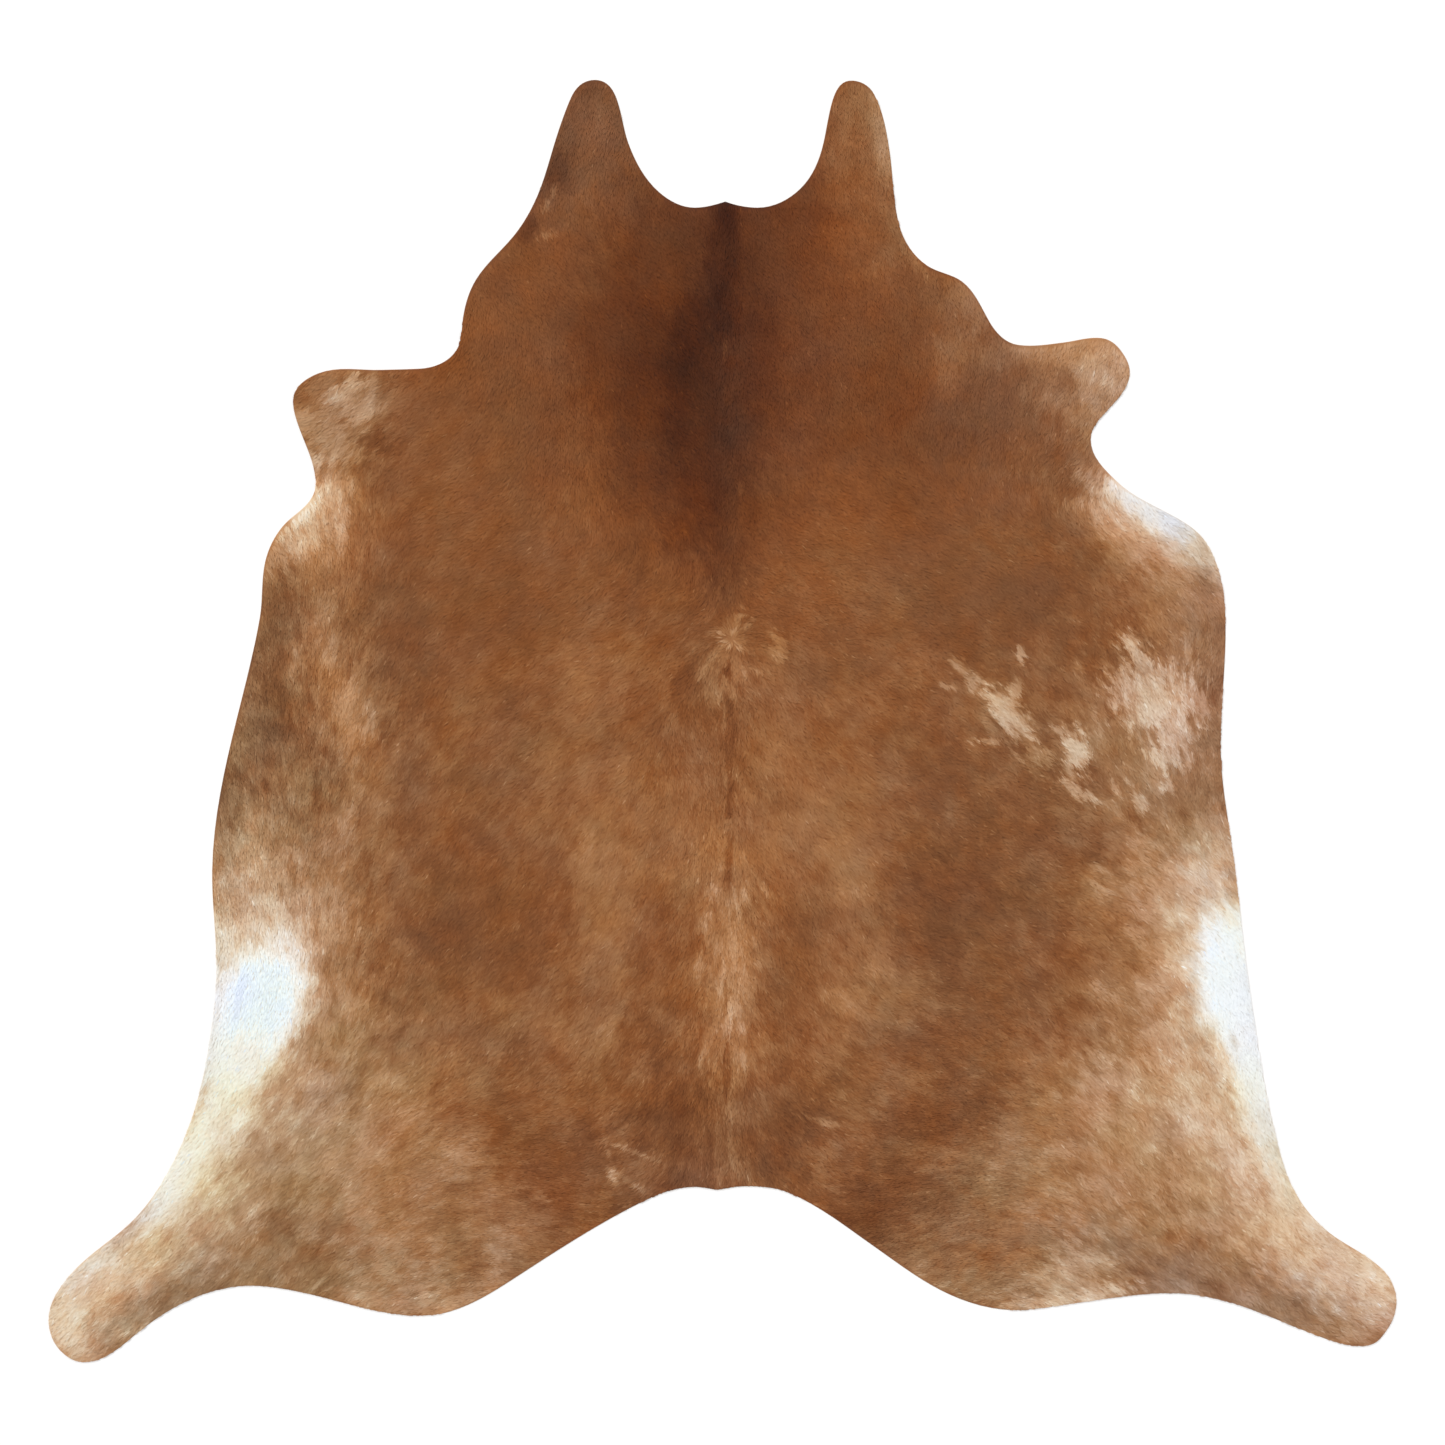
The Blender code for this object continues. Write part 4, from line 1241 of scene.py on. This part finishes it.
def make_skin_mesh(settings):
    """The skin as one closed mesh.

    The rim is a profile carried round the outline. The underside and the top are the same flat net
    of triangles on a square lattice that ends in the rim's first and last rings.
    """
    hide = hide_map()
    thickness = settings.leather
    ring_size = len(hide.ring)
    rings = []
    for inset, height in RIM_PROFILE:
        flat = inset_ring(hide.ring, inset * thickness)
        rings.append(np.column_stack([flat, np.full(ring_size, height * thickness)]))
    x, y = lattice(settings.skin_step, 0)
    clear_of_rim = 0.6 * settings.skin_step
    inner = hide.outside.at(x, y) < -clear_of_rim
    x, y = x[inner], y[inner]
    net = np.concatenate([rings[-1][:, :2], np.column_stack([x, y])])
    places = [Vector(place) for place in net]
    inside_only, merge_within = 1, 1e-7
    solved = delaunay_2d_cdt(places, [], [list(range(ring_size))], inside_only, merge_within)
    faces = np.array(solved[2])
    if len(solved[0]) != len(net):
        raise RuntimeError("the net of the skin has points that were merged or added")

    lattice_size = len(x)
    wall_size = ring_size * len(RIM_PROFILE)
    flesh = np.column_stack([x, y, np.zeros(lattice_size)])
    grain = np.column_stack([x, y, np.full(lattice_size, thickness)])
    points = np.concatenate([*rings, flesh, grain])
    on_ring = faces < ring_size
    under = np.where(on_ring, faces, faces - ring_size + wall_size)[:, ::-1]
    top_start = wall_size - ring_size
    over = np.where(on_ring, faces + top_start, faces - ring_size + wall_size + lattice_size)

    level = np.arange(len(RIM_PROFILE) - 1)[:, None]
    here = np.arange(ring_size)[None]
    there = (here + 1) % ring_size
    low_here, low_there = level * ring_size + here, level * ring_size + there
    high_here, high_there = low_here + ring_size, low_there + ring_size
    wall = np.concatenate(
        [
            np.stack([low_here, low_there, high_there], axis=-1).reshape(-1, 3),
            np.stack([low_here, high_there, high_here], axis=-1).reshape(-1, 3),
        ]
    )
    mesh = new_mesh("skin", points, np.concatenate([wall, under, over]))
    wall_slot = np.where(np.arange(len(RIM_PROFILE) - 1) < HAIRY_FROM, CUT_EDGE_SLOT, GRAIN_SLOT)
    slots = np.tile(np.repeat(wall_slot, ring_size), 2)
    flat_slots = [np.full(len(under), SUEDE_SLOT), np.full(len(over), GRAIN_SLOT)]
    slots = np.concatenate([slots, *flat_slots])
    mesh.polygons.foreach_set("material_index", slots.astype(np.int32))

    place = (points[:, :2] - LOW[:2]) / (HIGH - LOW)[:2]
    round_ring = np.broadcast_to(here / ring_size, low_here.shape)
    round_next = round_ring + 1 / ring_size
    up = np.broadcast_to(level / level.size, low_here.shape)
    up_next = up + 1 / level.size
    lower_wall = [(up, round_ring), (up, round_next), (up_next, round_next)]
    upper_wall = [(up, round_ring), (up_next, round_next), (up_next, round_ring)]
    wall_uv = [
        np.stack([np.stack(corner, axis=-1).reshape(-1, 2) for corner in corners], axis=1)
        for corners in (lower_wall, upper_wall)
    ]
    laid_out = (
        (np.concatenate(wall_uv), RIM_PART),
        (place[under], FLESH_PART),
        (place[over], GRAIN_PART),
    )
    corners = np.concatenate([part * size + corner for part, (size, corner) in laid_out])
    add_uv(mesh, "OFBake", corners.reshape(-1, 2))
    tone = hair_tone(points[:, 0], points[:, 1], 0.0)
    ash, gold = hair_tint(points[:, 0], points[:, 1])
    add_hair_values(mesh, tone, ash, gold, np.full(len(tone), MIDDLE_CHANCE))
    return mesh


def new_material(name):
    """A material, its nodes and their links."""
    material = bpy.data.materials.new(name)
    material.use_nodes = True
    return material, material.node_tree.nodes, material.node_tree.links


def hair_value_nodes(nodes, links):
    """The tone, the ash, the gold and the random number that a mesh with hair carries."""
    hair = nodes.new("ShaderNodeAttribute")
    hair.attribute_name = "hair"
    values = nodes.new("ShaderNodeSeparateColor")
    links.new(hair.outputs["Color"], values.inputs["Color"])
    tone, ash, gold = (values.outputs[name] for name in ("Red", "Green", "Blue"))
    return tone, ash, gold, hair.outputs["Alpha"]


def noise_node(nodes, links, place, scale, detail):
    """Blender's own noise at a place."""
    texture = nodes.new("ShaderNodeTexNoise")
    texture.inputs["Scale"].default_value = scale
    texture.inputs["Detail"].default_value = detail
    links.new(place, texture.inputs["Vector"])
    return texture.outputs["Fac"]


def add_relief(nodes, links, height, strength, depth):
    """Bumps of this depth on the material's surface, where a height is large."""
    bump = nodes.new("ShaderNodeBump")
    bump.inputs["Strength"].default_value = strength
    bump.inputs["Distance"].default_value = depth
    links.new(height, bump.inputs["Height"])
    links.new(bump.outputs["Normal"], nodes["Principled BSDF"].inputs["Normal"])


# The colour of ash, as a gain on the hair's own lightness, at two tones. ASH_LIGHT makes up for what
# the gains take away.
ASH_GAINS = ((0.45, (0.92, 0.84, 0.52)), (0.92, (0.79, 0.82, 0.80)))
ASH_LIGHT = 1.2


def hair_colour_nodes(nodes, links, settings, tone, ash, gold):
    """The colour of hair from its tone, by a ramp of the settings' colours, its ash and its gold.

    The ash mixes in the ramp's own lightness as an olive brown, or as a cool grey on white hair.
    Below 0 it is taken away instead, which makes the brown redder. Last the blue is scaled by 1
    less the gold.
    """
    ramp = nodes.new("ShaderNodeValToRGB")
    stops = (
        (0.00, settings.black_brown),
        (0.15, settings.dark_chestnut),
        (0.30, settings.chestnut),
        (0.42, settings.brown),
        (0.55, settings.golden),
        (0.68, settings.tan),
        (0.80, settings.cream),
        (0.90, settings.ivory),
        (0.95, settings.white),
        (0.975, settings.cold_white),
        (1.00, settings.shaded_white),
    )
    for at, _ in stops[1:-1]:
        ramp.color_ramp.elements.new(at)
    for element, (at, colour) in zip(ramp.color_ramp.elements, stops):
        element.position = at
        element.color = linear(colour)
    links.new(tone, ramp.inputs["Fac"])
    grey = nodes.new("ShaderNodeRGBToBW")
    links.new(ramp.outputs["Color"], grey.inputs["Color"])
    ash_ramp = nodes.new("ShaderNodeValToRGB")
    for element, (at, gains) in zip(ash_ramp.color_ramp.elements, ASH_GAINS):
        element.position = at
        element.color = (*gains, 1.0)
    links.new(tone, ash_ramp.inputs["Fac"])
    ashen = nodes.new("ShaderNodeVectorMath")
    ashen.operation = "SCALE"
    links.new(ash_ramp.outputs["Color"], ashen.inputs[0])
    lightness = math_node(nodes, links, "MULTIPLY", grey.outputs["Val"], ASH_LIGHT)
    links.new(lightness, ashen.inputs["Scale"])
    mix = nodes.new("ShaderNodeMix")
    mix.data_type = "RGBA"
    mix.clamp_factor = False
    links.new(ash, mix.inputs["Factor"])
    links.new(ramp.outputs["Color"], mix.inputs["A"])
    links.new(ashen.outputs["Vector"], mix.inputs["B"])
    gilding = nodes.new("ShaderNodeCombineXYZ")
    gilding.inputs["X"].default_value = 1.0
    gilding.inputs["Y"].default_value = 1.0
    links.new(math_node(nodes, links, "SUBTRACT", 1.0, gold), gilding.inputs["Z"])
    gilded = nodes.new("ShaderNodeVectorMath")
    gilded.operation = "MULTIPLY"
    links.new(mix.outputs["Result"], gilded.inputs[0])
    links.new(gilding.outputs["Vector"], gilded.inputs[1])
    return gilded.outputs["Vector"]


def math_node(nodes, links, operation, first, second):
    """One step of arithmetic. Each side is a number or another node's output."""
    node = nodes.new("ShaderNodeMath")
    node.operation = operation
    for socket, value in zip(node.inputs, (first, second)):
        if isinstance(value, (int, float)):
            socket.default_value = value
        else:
            links.new(value, socket)
    return node.outputs[0]


# The fibres of a lock: how fine their noise is across and along it, how far apart two locks are in that
# noise, and what the fibres add to the tone and the roughness at most
FIBRES_ACROSS = 9.0
FIBRES_ALONG = 0.8
FIBRES_APART = 60.0
FIBRE_TONE = 0.10
FIBRE_ROUGHNESS = 0.3

# How rough the hair is, and how much lighter a lock's tip is than its root
HAIR_ROUGHNESS = 0.62
TIP_TONE = 0.03


def coat_material(settings):
    """Hair: each lock has its own tone, with fibres along it and a darker root."""
    material, nodes, links = new_material("hair coat")
    shader = nodes["Principled BSDF"]
    tone, ash, gold, chance = hair_value_nodes(nodes, links)
    strand = nodes.new("ShaderNodeUVMap")
    strand.uv_map = "Strand"
    place = nodes.new("ShaderNodeSeparateXYZ")
    links.new(strand.outputs["UV"], place.inputs["Vector"])
    in_noise = nodes.new("ShaderNodeCombineXYZ")
    scales = (
        ("X", place.outputs["X"], FIBRES_ACROSS),
        ("Y", place.outputs["Y"], FIBRES_ALONG),
        ("Z", chance, FIBRES_APART),
    )
    for axis, value, scale in scales:
        links.new(math_node(nodes, links, "MULTIPLY", value, scale), in_noise.inputs[axis])
    fibres = noise_node(nodes, links, in_noise.outputs["Vector"], 1.0, 2.0)
    fibre = math_node(nodes, links, "SUBTRACT", fibres, 0.5)

    fibre_tone = math_node(nodes, links, "MULTIPLY", fibre, FIBRE_TONE)
    tip_tone = math_node(nodes, links, "MULTIPLY", place.outputs["Y"], TIP_TONE)
    tone = math_node(nodes, links, "ADD", tone, math_node(nodes, links, "ADD", fibre_tone, tip_tone))
    colour = hair_colour_nodes(nodes, links, settings, tone, ash, gold)
    links.new(colour, shader.inputs["Base Color"])
    roughness = math_node(nodes, links, "MULTIPLY", fibre, FIBRE_ROUGHNESS)
    roughness = math_node(nodes, links, "ADD", roughness, HAIR_ROUGHNESS)
    links.new(roughness, shader.inputs["Roughness"])
    add_relief(nodes, links, fibres, 0.15, 0.2 * MM)
    shader.inputs["Specular IOR Level"].default_value = 0.08
    return material


# Stubble on the skin under the coat: how fine its noise is, what it adds to the tone at most, and how
# much darker the skin is painted than the coat, as painted shade under the locks
STUBBLE_FINENESS = 600.0
STUBBLE_TONE = 0.08
SKIN_PAINTED_SHADE = 0.07


def grain_material(settings):
    """The hair side of the skin under the coat: the coat's own colours, darkened as painted shade under
    the locks.
    """
    material, nodes, links = new_material("skin under the coat")
    shader = nodes["Principled BSDF"]
    tone, ash, gold, _ = hair_value_nodes(nodes, links)
    place = nodes.new("ShaderNodeTexCoord")
    stubble = noise_node(nodes, links, place.outputs["Object"], STUBBLE_FINENESS, 3.0)
    speckle = math_node(nodes, links, "MULTIPLY", stubble, STUBBLE_TONE)
    tone = math_node(nodes, links, "ADD", tone, speckle)
    # Painted shade: the skin between the locks is made darker than the coat
    tone = math_node(nodes, links, "SUBTRACT", tone, SKIN_PAINTED_SHADE)
    colour = hair_colour_nodes(nodes, links, settings, tone, ash, gold)
    links.new(colour, shader.inputs["Base Color"])
    add_relief(nodes, links, stubble, 0.3, 0.3 * MM)
    shader.inputs["Roughness"].default_value = 0.8
    shader.inputs["Specular IOR Level"].default_value = 0.2
    return material


# Where the mean of a leather's clouds and nap gives its darkest and its lightest colour
LEATHER_ENDS = (0.375, 0.625)
LEATHER_CLOUDS_FINENESS = 9.0


def leather_material(name, colour, nap_size, contrast, roughness):
    """Bare leather: its colour with soft clouds, and a fine nap in colour and relief."""
    material, nodes, links = new_material(name)
    shader = nodes["Principled BSDF"]
    place = nodes.new("ShaderNodeTexCoord").outputs["Object"]
    clouds = noise_node(nodes, links, place, LEATHER_CLOUDS_FINENESS, 5.0)
    nap = noise_node(nodes, links, place, 1 / nap_size, 4.0)
    both = math_node(nodes, links, "ADD", clouds, nap)
    ramp = nodes.new("ShaderNodeValToRGB")
    light = np.array(linear(colour)[:3])
    gains = (1 - contrast, 1 + contrast)
    for element, at, gain in zip(ramp.color_ramp.elements, LEATHER_ENDS, gains):
        element.position = at
        element.color = (*np.clip(light * gain, 0, 1), 1.0)
    links.new(math_node(nodes, links, "MULTIPLY", both, 0.5), ramp.inputs["Fac"])
    links.new(ramp.outputs["Color"], shader.inputs["Base Color"])
    add_relief(nodes, links, nap, 0.4, 0.4 * MM)
    shader.inputs["Roughness"].default_value = roughness
    shader.inputs["Specular IOR Level"].default_value = 0.2
    return material


class COWHIDE_OT_make_coat(bpy.types.Operator):
    """Grows the five layers of locks that make the coat"""

    bl_idname = "cowhide.make_coat"
    bl_label = "Make Coat"

    def execute(self, context):
        settings = context.scene.cowhide
        material = coat_material(settings)
        for layer in LAYERS:
            piece = show(grow_locks(layer, settings), layer.name, [material])
            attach(piece, "root")
            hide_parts("hide")
        return {"FINISHED"}


class COWHIDE_OT_make_skin(bpy.types.Operator):
    """Makes the tanned skin with its cut edge and its suede underside"""

    bl_idname = "cowhide.make_skin"
    bl_label = "Make Skin"

    def execute(self, context):
        settings = context.scene.cowhide
        materials = [
            grain_material(settings),
            leather_material("cut leather edge", settings.cut_edge, 0.6 * MM, 0.25, 0.8),
            leather_material("suede", settings.suede, 1.2 * MM, 0.16, 0.95),
        ]
        skin = show(make_skin_mesh(settings), "skin", materials)
        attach(skin, "root")
        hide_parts("hide")
        return {"FINISHED"}


# The camera looks straight down. The photograph's frame holds a square of floor of this side, with
# this middle.
FRAME_SIDE = 2.367
FRAME_MIDDLE = (0.0, -0.0025)
LENS = 85.0
SENSOR = 36.0

# The floor's rings: the first and the last radius, how many there are, and the points in each
FLOOR_INNER = 0.5
FLOOR_OUTER = 14.0
FLOOR_RINGS = 14
FLOOR_SIDES = 96

# The light: how strong the sky and the lamp are, how wide the lamp is in degrees, and where it is
SKY_STRENGTH = 0.62
LAMP_STRENGTH = 1.75
LAMP_WIDTH = 50
LAMP_FROM = (-0.35, 0.55, 1.0)


def make_floor(settings):
    """A wide flat disc: rings of points at even angles, closer together near the rug."""
    radii = np.geomspace(FLOOR_INNER, FLOOR_OUTER, FLOOR_RINGS)
    angles = np.linspace(0, 2 * np.pi, FLOOR_SIDES, endpoint=False)
    around, out = np.meshgrid(angles, radii)
    points = np.stack([out * np.cos(around), out * np.sin(around), np.zeros_like(out)], axis=-1)
    points = np.concatenate([points.reshape(-1, 3), np.zeros((1, 3))])
    here = np.arange(FLOOR_SIDES)
    there = (here + 1) % FLOOR_SIDES
    middle = len(points) - 1
    fan = np.stack([np.full(FLOOR_SIDES, middle), here, there], axis=-1)
    level = FLOOR_SIDES * np.arange(FLOOR_RINGS - 1)[:, None]
    a, b = level + here, level + there
    out_a, out_b = a + FLOOR_SIDES, b + FLOOR_SIDES
    bands = [np.stack(corners, axis=-1).reshape(-1, 3) for corners in ((a, out_a, out_b), (a, out_b, b))]
    material, nodes, _ = new_material("floor")
    shader = nodes["Principled BSDF"]
    shader.inputs["Base Color"].default_value = linear(settings.floor)
    shader.inputs["Roughness"].default_value = 0.9
    shader.inputs["Specular IOR Level"].default_value = 0.1
    floor = show(new_mesh("floor", points, np.concatenate([fan, *bands])), "floor", [material])


def make_light():
    """A pale sky all round and one very soft light from above the neck, a little to the left."""
    world = bpy.data.worlds.new("studio")
    world.use_nodes = True
    background = world.node_tree.nodes["Background"]
    background.inputs["Color"].default_value = (1.0, 1.0, 1.0, 1.0)
    background.inputs["Strength"].default_value = SKY_STRENGTH
    bpy.context.scene.world = world
    sun = bpy.data.lights.new("soft light", "SUN")
    sun.energy = LAMP_STRENGTH
    sun.angle = np.radians(LAMP_WIDTH)
    lamp = bpy.data.objects.new("soft light", sun)
    lamp.rotation_euler = Vector(LAMP_FROM).to_track_quat("Z", "Y").to_euler()
    bpy.context.scene.collection.objects.link(lamp)


def make_camera():
    """The camera straight above. Its height is the frame's side times the lens over the sensor."""
    camera = bpy.data.cameras.new("camera")
    camera.lens = LENS
    camera.sensor_width = SENSOR
    camera.clip_end = 100.0
    eye = bpy.data.objects.new("camera", camera)
    eye.location = (*FRAME_MIDDLE, HIGH[2] + FRAME_SIDE * LENS / SENSOR)
    bpy.context.scene.collection.objects.link(eye)
    bpy.context.scene.camera = eye


class COWHIDE_OT_make_stage(bpy.types.Operator):
    """Sets up the floor, the light and the camera"""

    bl_idname = "cowhide.make_stage"
    bl_label = "Make Stage"

    def execute(self, context):
        make_floor(context.scene.cowhide)
        make_light()
        make_camera()
        context.scene.view_settings.view_transform = "Standard"
        return {"FINISHED"}


class COWHIDE_PT_panel(bpy.types.Panel):
    bl_idname = "COWHIDE_PT_panel"
    bl_label = "Cowhide Rug"
    bl_space_type = "VIEW_3D"
    bl_region_type = "UI"
    bl_category = "Cowhide Rug"

    def draw(self, context):
        for operator in OPERATORS:
            self.layout.operator(operator.bl_idname)
        for name in RugSettings.__annotations__:
            self.layout.prop(context.scene.cowhide, name)


OPERATORS = (COWHIDE_OT_make_coat, COWHIDE_OT_make_skin, COWHIDE_OT_make_stage)
CLASSES = (RugSettings, *OPERATORS, COWHIDE_PT_panel)


def register():
    for each in CLASSES:
        bpy.utils.register_class(each)
    bpy.types.Scene.cowhide = bpy.props.PointerProperty(type=RugSettings)


def unregister():
    del bpy.types.Scene.cowhide
    for each in reversed(CLASSES):
        bpy.utils.unregister_class(each)


def main():
    register()
    bpy.ops.cowhide.make_coat()
    bpy.ops.cowhide.make_skin()
    bpy.ops.cowhide.make_stage()


if __name__ == "__main__":
    main()
